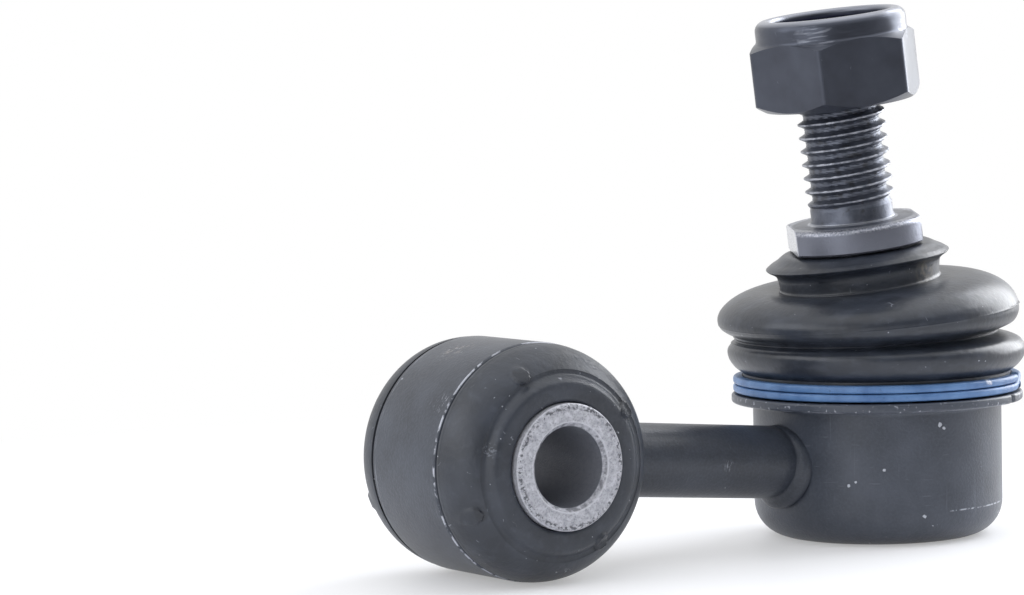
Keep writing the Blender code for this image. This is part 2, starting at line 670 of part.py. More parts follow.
def build_nylon_insert(parts, stud_axis):
    """The nylon ring under the nut's rolled rim, which grips the thread."""
    bore = THREAD_RADIUS + GAP
    outer = NUT_MOUTH_RADIUS + INSERT_HOLD - GAP
    top = NUT_HEIGHT - NUT_ROLLED_WALL - FACE_GAP
    base = top - INSERT_THICKNESS
    edge = NUT_BORE_CHAMFER / 2
    outline = [
        (bore, top - edge),
        (bore + edge, top),
        (outer, top),
        (outer, base),
        (bore, base),
    ]
    nylon = finish("nylon", "3b3f6e", 0.45)
    insert = turned("nylon_insert", outline, SMALL_ROUND_STEPS, nylon)
    place(insert, parts, stud_axis, (0, 0, NUT_SEAT))


def build_link():
    clear_scene()
    parts = new_collection("stabilizer_link")
    cutters = new_collection("cutters")
    bush_axis = axis_empty("bush_axis", parts, (-EYE_DISTANCE, 0, EYE_HEIGHT), (radians(90), 0, 0))
    rod_turn = ROD_SPAN.to_track_quat("Z", "Y").to_euler()
    rod_axis = axis_empty("rod_axis", parts, (0, 0, ROD_HEIGHT), rod_turn)
    stud_axis = axis_empty("stud_axis", parts, (0, 0, BALL_HEIGHT), (0, -REST_LEAN, 0))

    build_eye_ring(parts, bush_axis)
    build_bush_rubber(parts, bush_axis)
    build_inner_sleeve(parts, bush_axis)
    build_rod(parts, cutters, rod_axis, bush_axis)

    build_ball_housing(parts)
    build_ball_seat(parts)
    build_closing_ring(parts)
    build_ball_stud(parts, cutters, stud_axis)

    build_dust_boot(parts)
    build_boot_clamp_ring(parts)
    build_boot_top_ring(parts, stud_axis)

    build_nut_body(parts, cutters, stud_axis)
    build_nylon_insert(parts, stud_axis)


build_link()
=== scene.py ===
import json
from math import atan2, ceil, cos, hypot, pi, radians, sin, sqrt, tan

import bmesh
import bpy
from mathutils import Matrix, Vector, noise


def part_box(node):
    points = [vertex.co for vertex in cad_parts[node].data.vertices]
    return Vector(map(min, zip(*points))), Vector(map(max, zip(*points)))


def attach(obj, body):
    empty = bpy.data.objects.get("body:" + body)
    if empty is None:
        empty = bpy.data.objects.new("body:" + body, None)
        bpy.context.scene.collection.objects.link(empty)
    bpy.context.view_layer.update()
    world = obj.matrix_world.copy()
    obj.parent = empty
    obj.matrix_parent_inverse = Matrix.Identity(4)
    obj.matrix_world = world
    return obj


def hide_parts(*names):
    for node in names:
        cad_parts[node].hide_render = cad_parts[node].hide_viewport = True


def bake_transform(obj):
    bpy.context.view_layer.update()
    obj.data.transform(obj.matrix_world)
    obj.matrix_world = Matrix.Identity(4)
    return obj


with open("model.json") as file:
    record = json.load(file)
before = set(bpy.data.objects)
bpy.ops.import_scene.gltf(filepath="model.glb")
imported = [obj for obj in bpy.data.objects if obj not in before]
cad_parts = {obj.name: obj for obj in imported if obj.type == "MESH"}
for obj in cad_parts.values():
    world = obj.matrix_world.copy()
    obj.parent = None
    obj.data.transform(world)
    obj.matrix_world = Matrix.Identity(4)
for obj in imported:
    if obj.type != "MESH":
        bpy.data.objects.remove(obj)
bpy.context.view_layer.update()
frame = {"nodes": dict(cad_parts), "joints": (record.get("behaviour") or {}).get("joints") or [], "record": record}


# Eye ring
# The steel tube that holds the bush: cut from drawn tube, its edges broken in the lathe, welded to
# the rod and dip-coated. The coat is worn off its front edge in short dashes.

MM = 0.001

low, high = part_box("eye_ring")
EYE_CENTRE = (low + high) / 2
RING_RADIUS = (high.z - low.z) / 2
RING_HALF = (high.y - low.y) / 2
RING_WALL = 2.0 * MM
RING_BORE = RING_RADIUS - RING_WALL
RING_EDGE = 0.35 * MM
RING_KNOCK = (-4.75, 11.51, -1.34)
RING_GRAZE = (-10.4, 6.8, 4.4)
SIDES = 256
BUSH_PLACE = Matrix.Translation(EYE_CENTRE) @ Matrix.Rotation(pi / 2, 4, "X")


def filleted(corners, steps=6):
    """An outline of (radius, height) corners, where a third value rounds the corner."""
    outline = []
    for index, corner in enumerate(corners):
        here = Vector(corner[:2])
        if len(corner) < 3:
            outline.append(tuple(here))
            continue
        to_last = (Vector(corners[index - 1][:2]) - here).normalized()
        to_next = (Vector(corners[(index + 1) % len(corners)][:2]) - here).normalized()
        half_angle = to_last.angle(to_next) / 2
        centre = here + (to_last + to_next).normalized() * corner[2] / sin(half_angle)
        arm = here + to_last * corner[2] / tan(half_angle) - centre
        sweep = pi - 2 * half_angle
        if to_last.cross(to_next) > 0:
            sweep = -sweep
        for step in range(steps + 1):
            outline.append(tuple(centre + Matrix.Rotation(sweep * step / steps, 2) @ arm))
    return outline


def finish_mesh(mesh, sharp=35):
    """Shades a mesh smooth, with creases where its faces meet at more than the sharp angle."""
    mesh.shade_smooth()
    mesh.set_sharp_from_angle(angle=radians(sharp))


def turned(name, outline, sides, closed=True, sharp=35, shape=None):
    """A turned mesh: an outline that runs down its outer side, swept round the Z axis.

    shape may move each point: it takes radius, height and angle, and returns a place.
    """
    verts, rings = [], []
    for radius, height in outline:
        count = sides if radius > 0 else 1
        rings.append([len(verts) + turn % count for turn in range(sides)])
        for turn in range(count):
            angle = 2 * pi * turn / sides
            if shape:
                verts.append(shape(radius, height, angle))
            else:
                verts.append((radius * cos(angle), radius * sin(angle), height))
    faces = []
    pairs = list(zip(rings, rings[1:]))
    if closed:
        pairs.append((rings[-1], rings[0]))
    for upper, lower in pairs:
        for turn in range(sides):
            after = (turn + 1) % sides
            corners = [upper[turn], lower[turn], lower[after], upper[after]]
            faces.append(list(dict.fromkeys(corners)))
    mesh = bpy.data.meshes.new(name)
    mesh.from_pydata(verts, [], faces)
    finish_mesh(mesh, sharp)
    return mesh


def fit(name, mesh, material, body, nodes, place=Matrix()):
    """Puts a piece in its place on a body, in the stead of the nodes that it stands for.

    Without a body it rides on none yet, as a piece has to that is blended over a joint.
    """
    piece = bpy.data.objects.new(name, mesh)
    bpy.context.scene.collection.objects.link(piece)
    piece.matrix_world = place
    mesh.materials.append(material)
    if body:
        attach(piece, body)
    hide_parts(*nodes)
    return piece


def colour(hex_code):
    """An sRGB hex colour as Blender's linear values."""
    channels = [int(hex_code[spot:spot + 2], 16) / 255 for spot in (0, 2, 4)]
    linear = [c / 12.92 if c <= 0.04045 else ((c + 0.055) / 1.055) ** 2.4 for c in channels]
    return (*linear, 1.0)


def add_node(tree, kind, sockets=None, **settings):
    """Adds a node with its settings, and feeds its sockets with values or with other nodes."""
    new = tree.nodes.new("ShaderNode" + kind)
    for name, value in settings.items():
        setattr(new, name, value)
    for socket, value in (sockets or {}).items():
        if isinstance(value, bpy.types.NodeSocket):
            tree.links.new(new.inputs[socket], value)
        else:
            new.inputs[socket].default_value = value
    return new


def new_material(name, roughness, metallic=0.0, ior=1.5):
    """A material's node tree, its shader and the piece's own coordinates."""
    material = bpy.data.materials.new(name)
    material.use_nodes = True
    tree = material.node_tree
    shader = tree.nodes["Principled BSDF"]
    shader.inputs["Metallic"].default_value = metallic
    shader.inputs["Roughness"].default_value = roughness
    if metallic == 0:
        shader.inputs["IOR"].default_value = ior
    return material, tree, shader, add_node(tree, "TexCoord").outputs["Object"]


def patches(tree, place, grain, start, end, detail=2.0, stretch=(1, 1, 1), shift=0.0):
    """A mask of irregular patches: grain is their size in metres, start to end their soft edge."""
    moved = add_node(tree, "VectorMath", {0: place, 1: stretch, 2: (shift, shift, shift)},
                     operation="MULTIPLY_ADD")
    cloud = add_node(tree, "TexNoise", {"Vector": moved.outputs[0], "Scale": 1 / grain, "Detail": detail})
    spread = add_node(tree, "MapRange", {"Value": cloud.outputs[0], "From Min": start, "From Max": end})
    return spread.outputs[0]


def band(tree, value, middle, half_width, soft):
    """A mask that is 1 where a value lies in a band, with soft edges."""
    off = add_node(tree, "Math", {0: value, 1: middle}, operation="SUBTRACT")
    away = add_node(tree, "Math", {0: off.outputs[0]}, operation="ABSOLUTE")
    inside = {"Value": away.outputs[0], "From Min": half_width + soft, "From Max": half_width}
    return add_node(tree, "MapRange", inside).outputs[0]


def near(tree, place, spot, reach, soft):
    """A ragged mask that is 1 within reach of a spot, in millimetres in the piece's own axes."""
    away = add_node(tree, "VectorMath", {0: place, 1: [part * MM for part in spot]}, operation="DISTANCE")
    cloud = add_node(tree, "TexNoise", {"Vector": place, "Scale": 0.8 / (reach * MM), "Detail": 4.0})
    ragged = add_node(tree, "Math", {0: cloud.outputs[0], 1: 2.4 * reach * MM, 2: away.outputs["Value"]},
                      operation="MULTIPLY_ADD").outputs[0]
    inside = {"Value": ragged, "From Min": (2.2 * reach + soft) * MM, "From Max": 2.2 * reach * MM}
    return add_node(tree, "MapRange", inside).outputs[0]


def both(tree, first, second):
    """Two masks, or a mask and a strength, multiplied."""
    return add_node(tree, "Math", {0: first, 1: second}, operation="MULTIPLY").outputs[0]


def over(tree, under, mask, layer):
    """A colour laid over another one where a mask says so."""
    return add_node(tree, "Mix", {0: mask, 6: under, 7: layer}, data_type="RGBA").outputs[2]


def add_bump(tree, shader, height, depth):
    """Lets a mask raise the surface by a depth in metres."""
    bump = add_node(tree, "Bump", {"Height": height, "Distance": depth, "Strength": 1.0})
    tree.links.new(shader.inputs["Normal"], bump.outputs[0])


def axis_places(tree, place):
    """Radius and height of each place, from a piece's own Z axis."""
    parts = add_node(tree, "SeparateXYZ", {0: place})
    flat = add_node(tree, "CombineXYZ", {0: parts.outputs[0], 1: parts.outputs[1]})
    radius = add_node(tree, "VectorMath", {0: flat.outputs[0]}, operation="LENGTH").outputs["Value"]
    return radius, parts.outputs[2]


def coated_steel(name, dark, light, roughness=0.38):
    """Steel under a thin black dip coat: the drawn or forged skin shows through, in cloudy greys.

    The eye gets soft slate patches some millimetres wide, a fine grain, faint rub marks and a few chips.
    The real grain is finer, and is drawn 0.3 mm wide so that it shows.
    """
    material, tree, shader, place = new_material(name, roughness)
    cloud = patches(tree, place, 5 * MM, 0.35, 0.7, 4)
    tone = over(tree, colour(dark), cloud, colour(light))
    grain = patches(tree, place, 0.3 * MM, 0.4, 0.75, 3)
    tone = over(tree, tone, both(tree, grain, 0.22), colour("565c68"))
    rubs = patches(tree, place, 0.7 * MM, 0.7, 0.76, 2, stretch=(0.25, 0.25, 2.5), shift=0.7)
    tone = over(tree, tone, both(tree, rubs, 0.16), colour("80848f"))
    chips = patches(tree, place, 0.8 * MM, 0.81, 0.83, 1)
    tone = over(tree, tone, both(tree, chips, 0.7), colour("a9acb6"))
    add_bump(tree, shader, grain, 0.015 * MM)
    return material, tree, shader, place, tone


outline = filleted([
    (RING_BORE, RING_HALF, RING_EDGE),
    (RING_RADIUS, RING_HALF, RING_EDGE),
    (RING_RADIUS, -RING_HALF, RING_EDGE),
    (RING_BORE, -RING_HALF, RING_EDGE),
])
ring_coat, tree, shader, place, tone = coated_steel("ring_coat", "31353e", "40454f")
height = axis_places(tree, place)[1]
edge = band(tree, height, RING_HALF - 0.18 * MM, 0.05 * MM, 0.07 * MM)
dashes = patches(tree, place, 0.9 * MM, 0.44, 0.53, 4)
tone = over(tree, tone, both(tree, edge, dashes), colour("b4b7c1"))
back_edge = band(tree, height, -RING_HALF + 0.6 * MM, 0.02 * MM, 0.06 * MM)
worn = patches(tree, place, 2.5 * MM, 0.42, 0.6, 3, shift=0.2)
tone = over(tree, tone, both(tree, both(tree, back_edge, worn), 0.7), colour("8b8f9a"))
knock = near(tree, place, RING_KNOCK, 0.9, 1.6)
marks = both(tree, knock, patches(tree, place, 0.5 * MM, 0.56, 0.64, 4, stretch=(0.35, 1, 1.5), shift=0.3))
tone = over(tree, tone, both(tree, marks, 0.4), colour("a39a94"))
flecks = both(tree, knock, patches(tree, place, 0.3 * MM, 0.64, 0.68, 2, shift=0.5))
tone = over(tree, tone, both(tree, flecks, 0.6), colour("b8b9c0"))
graze = both(tree, near(tree, place, RING_GRAZE, 0.7, 0.6),
             patches(tree, place, 0.4 * MM, 0.6, 0.66, 2, stretch=(1, 0.3, 2.5)))
tone = over(tree, tone, graze, colour("9da0aa"))
tree.links.new(shader.inputs["Base Color"], tone)
fit("eye_ring_tube", turned("eye_ring_tube", outline, SIDES), ring_coat,
    "link", ["eye_ring"], BUSH_PLACE)


# Bush rubber
# Natural rubber, moulded and bonded between ring and sleeve: a full round flange laps each end of the
# ring, a low boss stands round the sleeve, and four pips are where the mould was vented. It gives the
# eye a dull near-black with a cloudy grey bloom, a few thin scores and specks of dust.

RUBBER_HALF = (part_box("bush_rubber")[1].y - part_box("bush_rubber")[0].y) / 2
RUBBER_RADIUS = (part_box("bush_rubber")[1].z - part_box("bush_rubber")[0].z) / 2
RUBBER_BORE = 6.6 * MM
BOSS_RADIUS = 8.95 * MM
SHOULDER_ROUND = 4.2 * MM
SHOULDER_DEPTH = 4.85 * MM
SHOULDER_DROP = 0.55 * MM
PIP_RADIUS = 0.85 * MM
PIP_RISE = 0.42 * MM
PIP_EDGE = 0.2 * MM
PIP_FACE = 11.0
PIPS = ((10.6 * MM, 115.5), (9.5 * MM, 33), (9.3 * MM, -61), (11.3 * MM, -157))
BUSH_SCUFF = (-8.9, 2.4, 11.0)


def arc(centre_r, centre_z, radius, start, end, steps, squash=1.0):
    """Points of an arc in the profile plane, from one angle to another, in degrees."""
    points = []
    for step in range(steps + 1):
        angle = radians(start + (end - start) * step / steps)
        points.append((centre_r + radius * cos(angle), centre_z + squash * radius * sin(angle)))
    return points


def smoothed(points, steps):
    """A smooth open line through the points, with so many steps between two of them."""
    line = []
    for index in range(len(points) - 1):
        before = Vector(points[max(index - 1, 0)])
        here, after = Vector(points[index]), Vector(points[index + 1])
        beyond = Vector(points[min(index + 2, len(points) - 1)])
        for step in range(steps):
            t = step / steps
            bend = (2 * here + (after - before) * t
                    + (2 * before - 5 * here + 4 * after - beyond) * t ** 2
                    + (3 * here - before - 3 * after + beyond) * t ** 3)
            line.append(tuple(bend / 2))
    line.append(tuple(points[-1]))
    return line


def hairs(tree, place, grain, width, stretch=(1, 1, 1), shift=0.0):
    """A mask of thin curved scratches: grain is their length in metres, width their share of it."""
    moved = add_node(tree, "VectorMath", {0: place, 1: stretch, 2: (shift, shift, shift)},
                     operation="MULTIPLY_ADD")
    cloud = add_node(tree, "TexNoise", {"Vector": moved.outputs[0], "Scale": 1 / grain, "Detail": 2.0})
    return band(tree, cloud.outputs[0], 0.5, width, width)


def pip_rise(x, z):
    """How far the moulding pips lift the rubber's end face, seen from the front."""
    rise = 0.0
    for reach, turn in PIPS:
        away = hypot(x - reach * cos(radians(turn)), z - reach * sin(radians(turn)))
        rise += PIP_RISE * min(max((PIP_RADIUS + PIP_EDGE / 2 - away) / PIP_EDGE, 0), 1)
    return rise


def rubber_shape(radius, height, angle):
    """The moulding, with its pips raised on both end faces."""
    x, y = radius * cos(angle), radius * sin(angle)
    if abs(height) > RING_HALF:
        side = 1 if height > 0 else -1
        height += side * pip_rise(x, y)
    return x, y, height


shoulder = arc(RUBBER_RADIUS - SHOULDER_ROUND, RUBBER_HALF - SHOULDER_DROP - SHOULDER_DEPTH,
               SHOULDER_ROUND, 72, 0, 30, squash=SHOULDER_DEPTH / SHOULDER_ROUND)
boss = smoothed([
    (RUBBER_BORE, RUBBER_HALF - 0.35 * MM),
    (RUBBER_BORE + 0.25 * MM, RUBBER_HALF - 0.05 * MM),
    (RUBBER_BORE + 0.8 * MM, RUBBER_HALF),
    (BOSS_RADIUS - 0.5 * MM, RUBBER_HALF - 0.04 * MM),
    (BOSS_RADIUS - 0.05 * MM, RUBBER_HALF - 0.3 * MM),
    (BOSS_RADIUS + 0.45 * MM, RUBBER_HALF - 0.95 * MM),
    (BOSS_RADIUS + 0.95 * MM, RUBBER_HALF - 1.05 * MM),
    shoulder[3],
], 6)
half = boss + shoulder[4:]
half += [
    (RUBBER_RADIUS, RING_HALF + 0.7 * MM),
    (RUBBER_RADIUS - 0.08 * MM, RING_HALF + 0.48 * MM),
    (RUBBER_RADIUS - 0.3 * MM, RING_HALF + 0.34 * MM),
    (RUBBER_RADIUS - 1.2 * MM, RING_HALF + 0.25 * MM),
    (RING_BORE - 0.1 * MM, RING_HALF + 0.1 * MM),
]
outline = half + [(radius, -height) for radius, height in reversed(half)]
bush_material, tree, shader, place = new_material("moulded_rubber", 0.42, ior=1.52)
cloud = patches(tree, place, 4 * MM, 0.3, 0.7, 4)
tone = over(tree, colour("262a32"), cloud, colour("363b45"))
bloom = patches(tree, place, 1.2 * MM, 0.55, 0.8, 4)
tone = over(tree, tone, both(tree, bloom, 0.2), colour("5a606c"))
# Each pip is painted as a darker disc: partly the cleaner skin of the vent, partly painted shade round the pip.
for reach, turn in PIPS:
    middle = (reach / MM * cos(radians(turn)), reach / MM * sin(radians(turn)), PIP_FACE)
    tone = over(tree, tone, both(tree, near(tree, place, middle, 0.9, 0.4), 0.55), colour("1c1f25"))
scuff = both(tree, near(tree, place, BUSH_SCUFF, 0.4, 0.5), patches(tree, place, 0.3 * MM, 0.5, 0.62, 3))
tone = over(tree, tone, both(tree, scuff, 0.6), colour("70747e"))
scores = both(tree, hairs(tree, place, 2 * MM, 0.006),
              patches(tree, place, 1.5 * MM, 0.66, 0.72, 2, shift=0.6))
tone = over(tree, tone, both(tree, scores, 0.6), colour("9a9ea8"))
dust = patches(tree, place, 0.45 * MM, 0.78, 0.8, 1, shift=0.3)
tone = over(tree, tone, both(tree, dust, 0.75), colour("a6a9b2"))
tree.links.new(shader.inputs["Base Color"], tone)
add_bump(tree, shader, patches(tree, place, 0.5 * MM, 0.3, 0.7, 4), 0.02 * MM)
fit("bush_moulding", turned("bush_moulding", outline, 3 * SIDES // 2, shape=rubber_shape), bush_material,
    "link", ["bush_rubber"], BUSH_PLACE)


# Inner sleeve
# Plain steel tube that the bolt goes through, sawn to length and chamfered at both mouths. Its end
# faces are lightly corroded, which gives the eye grey steel with dark specks and a bright chamfer.

SLEEVE_HALF = (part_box("inner_sleeve")[1].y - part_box("inner_sleeve")[0].y) / 2
SLEEVE_RADIUS = (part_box("inner_sleeve")[1].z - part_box("inner_sleeve")[0].z) / 2
SLEEVE_BORE = 4.2 * MM
SLEEVE_CHAMFER = 0.45 * MM
SLEEVE_EDGE = 0.2 * MM

half = [
    (SLEEVE_BORE, SLEEVE_HALF - SLEEVE_CHAMFER - 1.2 * MM),
    (SLEEVE_BORE, SLEEVE_HALF - SLEEVE_CHAMFER),
    (SLEEVE_BORE + SLEEVE_CHAMFER, SLEEVE_HALF),
    (SLEEVE_RADIUS - SLEEVE_EDGE, SLEEVE_HALF),
    (SLEEVE_RADIUS, SLEEVE_HALF - SLEEVE_EDGE),
]
outline = half + [(radius, -height) for radius, height in reversed(half)]
sleeve_material, tree, shader, place = new_material("sawn_steel", 0.45, metallic=0.35)
radius = axis_places(tree, place)[0]
cloud = patches(tree, place, 0.5 * MM, 0.3, 0.7, 4)
tone = over(tree, colour("9a9ba3"), cloud, colour("c2c3ca"))
rust = patches(tree, place, 0.2 * MM, 0.5, 0.7, 4)
tone = over(tree, tone, both(tree, rust, 0.45), colour("4a4b51"))
outer = band(tree, radius, SLEEVE_RADIUS - 0.35 * MM, 0.15 * MM, 0.25 * MM)
specks = both(tree, outer, patches(tree, place, 0.3 * MM, 0.5, 0.58, 3, shift=0.4))
tone = over(tree, tone, both(tree, specks, 0.8), colour("3a3b41"))
lip = band(tree, radius, SLEEVE_RADIUS - 0.05 * MM, 0.03 * MM, 0.05 * MM)
tone = over(tree, tone, both(tree, lip, 0.5), colour("c4c5cc"))
mouth = band(tree, radius, SLEEVE_BORE + 0.5 * SLEEVE_CHAMFER, 0.15 * MM, 0.08 * MM)
stains = patches(tree, place, 0.7 * MM, 0.45, 0.6, 4, stretch=(1, 1, 0.3), shift=0.8)
tone = over(tree, tone, both(tree, both(tree, mouth, stains), 0.7), colour("4d4e55"))
rim = band(tree, radius, SLEEVE_BORE + SLEEVE_CHAMFER, 0.05 * MM, 0.07 * MM)
tone = over(tree, tone, both(tree, rim, 0.6), colour("c9cad1"))
bore = add_node(tree, "MapRange", {"Value": radius, "From Min": SLEEVE_BORE + 0.05 * MM,
                                   "From Max": SLEEVE_BORE + 0.01 * MM}).outputs[0]
tone = over(tree, tone, both(tree, bore, 0.85), colour("787b84"))
tree.links.new(shader.inputs["Base Color"], tone)
add_bump(tree, shader, rust, -0.02 * MM)
fit("bush_sleeve", turned("bush_sleeve", outline, SIDES), sleeve_material,
    "bush_core", ["inner_sleeve"], BUSH_PLACE)


# Ball housing
# A cup forged from steel, turned round its flange and dip-coated with the rod on it: flat base with a
# round edge, straight wall, flange for the boot, and a lip rolled in over the closing ring. The coat
# is chipped in small bright dots, and worn along the flange's rim and where the base's round edge
# starts. A thin painted highlight runs along the underside of the flange.

low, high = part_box("ball_housing")
FLANGE_RADIUS = high.x
FLANGE_REACH = 2.37 * MM
FLANGE_THICKNESS = 1.0 * MM
CUP_LIP_RISE = 2.3 * MM
HOUSING_TOP = high.z
HOUSING_RADIUS = FLANGE_RADIUS - FLANGE_REACH
FLANGE_TOP = HOUSING_TOP - CUP_LIP_RISE
FLANGE_BOTTOM = FLANGE_TOP - FLANGE_THICKNESS
CUP_NECK_RADIUS = 13.2 * MM
CAVITY_RADIUS = 10.6 * MM
BASE_FILLET = 3.9 * MM
HOUSING_FLOOR = 1.5 * MM
NOTCH_TURN = radians(-62)
NOTCH_DEPTH = 0.35 * MM
NOTCH_REACH = 0.03
EDGE_WEAR = (4.2, -13.2, 3.9)
CHIPS = (
    ((-2.4, -13.6, 13.3), 0.2), ((-1.9, -13.7, 12.9), 0.13), ((-4.3, -13.1, 3.4), 0.16),
    ((8.2, -10.8, 2.6), 0.15), ((-8.2, -11.1, 8.6), 0.13), ((-11.0, -8.4, 6.9), 0.13),
    ((-10.5, -9.0, 7.3), 0.1), ((-7.6, -11.4, 1.9), 0.13), ((-3.2, -13.2, 2.2), 0.12),
)


def housing_shape(radius, height, angle):
    """The turned cup, with the notch that a knock left in its flange."""
    if radius > HOUSING_RADIUS + 0.5 * MM:
        off = abs(angle - NOTCH_TURN - 2 * pi)
        radius -= NOTCH_DEPTH * max(1 - off / NOTCH_REACH, 0)
    return radius * cos(angle), radius * sin(angle), height


outline = filleted([
    (0, HOUSING_FLOOR),
    (CAVITY_RADIUS, HOUSING_FLOOR, 1.5 * MM),
    (CAVITY_RADIUS, HOUSING_TOP, 0.35 * MM),
    (CUP_NECK_RADIUS, HOUSING_TOP, 0.7 * MM),
    (CUP_NECK_RADIUS, FLANGE_TOP),
    (FLANGE_RADIUS, FLANGE_TOP, 0.3 * MM),
    (FLANGE_RADIUS, FLANGE_BOTTOM, 0.3 * MM),
    (HOUSING_RADIUS, FLANGE_BOTTOM, 0.6 * MM),
    (HOUSING_RADIUS, 0, BASE_FILLET),
    (0, 0),
], 12)
housing_coat, tree, shader, place, tone = coated_steel("housing_coat", "373c46", "464b56")
radius, height = axis_places(tree, place)
drawn = patches(tree, place, 0.6 * MM, 0.68, 0.74, 2, stretch=(1, 1, 0.06))
tone = over(tree, tone, both(tree, drawn, 0.2), colour("6a6f7a"))
edge = band(tree, radius, FLANGE_RADIUS, 0.05 * MM, 0.25 * MM)
worn = patches(tree, place, 0.45 * MM, 0.62, 0.68, 3)
tone = over(tree, tone, both(tree, both(tree, edge, worn), 0.8), colour("a3a6b0"))
# Painted highlight: a thin lighter line along the underside of the flange.
under = both(tree, band(tree, height, FLANGE_BOTTOM, 0.05 * MM, 0.12 * MM),
             patches(tree, place, 3 * MM, 0.4, 0.6))
tone = over(tree, tone, both(tree, under, 0.5), colour("8b8f9a"))
step = band(tree, height, BASE_FILLET - 0.1 * MM, 0.03 * MM, 0.08 * MM)
dashes = both(tree, patches(tree, place, 0.7 * MM, 0.44, 0.54, 3, shift=0.2),
              near(tree, place, EDGE_WEAR, 4.5, 1.5))
tone = over(tree, tone, both(tree, step, dashes), colour("a9adb7"))
for spot, reach in CHIPS:
    tone = over(tree, tone, near(tree, place, spot, reach, 0.05), colour("b4b7c0"))
tree.links.new(shader.inputs["Base Color"], tone)
fit("housing_cup", turned("housing_cup", outline, SIDES, closed=False, shape=housing_shape), housing_coat,
    "link", ["ball_housing"])


# Rod
# Drawn round bar, welded between eye and cup and coated with them, in the same cloudy dark grey. Each
# weld has pushed up a low bead that follows the round it sits on, fuller below than above.

ROD_RADIUS = 4.0 * MM
ROD_HEIGHT = 7.7 * MM
BEAD_RISE = 1.1 * MM
BEAD_TOP_LOSS = 0.9
ROD_SCUFF = (4.0, -0.2, 24.0)
ROD_START = Vector((0, 0, ROD_HEIGHT))
ROD_RUN = EYE_CENTRE - ROD_START
ROD_PLACE = Matrix.Translation(ROD_START) @ ROD_RUN.to_track_quat("Z", "Y").to_matrix().to_4x4()


def rod_shape(radius, height, angle):
    """A height above 0 counts from the saddle on the cup, one below 0 from the saddle on the eye.

    What stands proud of the bar is weld: full below the bar, and next to nothing above it.
    """
    bead = max(radius - ROD_RADIUS, 0)
    radius -= bead * (0.5 + 0.5 * sin(angle)) * BEAD_TOP_LOSS
    x, y = radius * cos(angle), radius * sin(angle)
    if height > 0:
        along = sqrt(HOUSING_RADIUS ** 2 - x ** 2) + height
    else:
        along = ROD_RUN.length - sqrt(RING_RADIUS ** 2 - y ** 2) + height
    return x, y, along


weld = [
    (ROD_RADIUS + BEAD_RISE, 0.05 * MM),
    (ROD_RADIUS + BEAD_RISE, 0.45 * MM),
    (ROD_RADIUS + 0.85 * BEAD_RISE, 0.75 * MM),
    (ROD_RADIUS + 0.45 * BEAD_RISE, 1.0 * MM),
    (ROD_RADIUS, 1.15 * MM),
    (ROD_RADIUS - 0.12 * MM, 1.3 * MM),
    (ROD_RADIUS - 0.1 * MM, 1.45 * MM),
    (ROD_RADIUS, 1.65 * MM),
    (ROD_RADIUS, 3.0 * MM),
]
outline = [(0, -0.05 * MM)] + [(radius, -along) for radius, along in weld]
outline += [(radius, along) for radius, along in reversed(weld)] + [(0, 0.05 * MM)]
rod_coat, tree, shader, place, tone = coated_steel("rod_coat", "2f333c", "3b404a")
scuff = both(tree, near(tree, place, ROD_SCUFF, 0.25, 0.5),
             patches(tree, place, 0.25 * MM, 0.5, 0.62, 4, stretch=(1, 0.5, 1.6)))
tone = over(tree, tone, both(tree, scuff, 0.6), colour("9599a3"))
tree.links.new(shader.inputs["Base Color"], tone)
fit("rod_bar", turned("rod_bar", outline, SIDES // 2, closed=False, sharp=50, shape=rod_shape), rod_coat,
    "link", ["rod"], ROD_PLACE)


# Seat, closing ring and top ring
# The moulded acetal socket round the ball, the pressed steel ring that shuts it in, and the steel ring
# that keeps the boot's neck round on the stud: ivory, bright grey and brownish grey, each a little
# cloudy. All three are inside, so they keep the forms of their solids.

for node, finish, base, pale, rough, metal in (
    ("ball_seat", "moulded_acetal", "cfcab9", "ddd9ca", 0.4, 0.0),
    ("closing_ring", "pressed_steel", "606268", "7a7c82", 0.4, 0.9),
    ("boot_top_ring", "tarnished_steel", "58504a", "7a6d5e", 0.5, 0.7),
):
    material, tree, shader, place = new_material(finish, rough, metallic=metal)
    cloud = patches(tree, place, 1.5 * MM, 0.35, 0.65, 3)
    tone = over(tree, colour(base), cloud, colour(pale))
    tree.links.new(shader.inputs["Base Color"], tone)
    frame["nodes"][node].material_slots[0].material = material


# Ball stud
# One forging: ball, neck, collar with two flats for a spanner, and a rolled M10 x 1.5 thread. It is
# phosphated, which gives the eye a cloudy dark grey, bright on the milled flats and where the
# collar's edge has been rubbed. The thread's crests are painted lighter in patches, partly rubbed
# bare and partly a painted highlight.

spin = next(joint for joint in frame["joints"] if joint["name"] == "stud_spin")
mounts = {mount["name"]: mount for mount in frame["record"]["mounts"]}
BALL_CENTRE = Vector(spin["pos_m"])
STUD_AXIS = Vector(spin["axis"])
LEAN = atan2(STUD_AXIS.x, STUD_AXIS.z)
STUD_PLACE = Matrix.Translation(BALL_CENTRE) @ Matrix.Rotation(LEAN, 4, "Y")
COLLAR_TOP = (Vector(mounts["collar_face"]["pos_m"]) - BALL_CENTRE).dot(STUD_AXIS)
NUT_SEAT = (Vector(mounts["nut_face"]["pos_m"]) - BALL_CENTRE).dot(STUD_AXIS)
BALL_RADIUS = 8.0 * MM
NECK_RADIUS = 4.5 * MM
SHOULDER_RADIUS = 6.1 * MM
COLLAR_THICKNESS = 2.8 * MM
COLLAR_BASE = COLLAR_TOP - COLLAR_THICKNESS
COLLAR_RADIUS = 8.15 * MM
COLLAR_FLATS = 14.0 * MM
COLLAR_EDGE = 0.6 * MM
COLLAR_TURN = radians(-31)
THREAD_RADIUS = 4.87 * MM
THREAD_PITCH = 1.5 * MM
THREAD_DEPTH = 0.72 * MM
SHANK_LENGTH = 1.6 * MM
STUD_REACH = 18.9 * MM
THREAD_START = COLLAR_TOP + SHANK_LENGTH
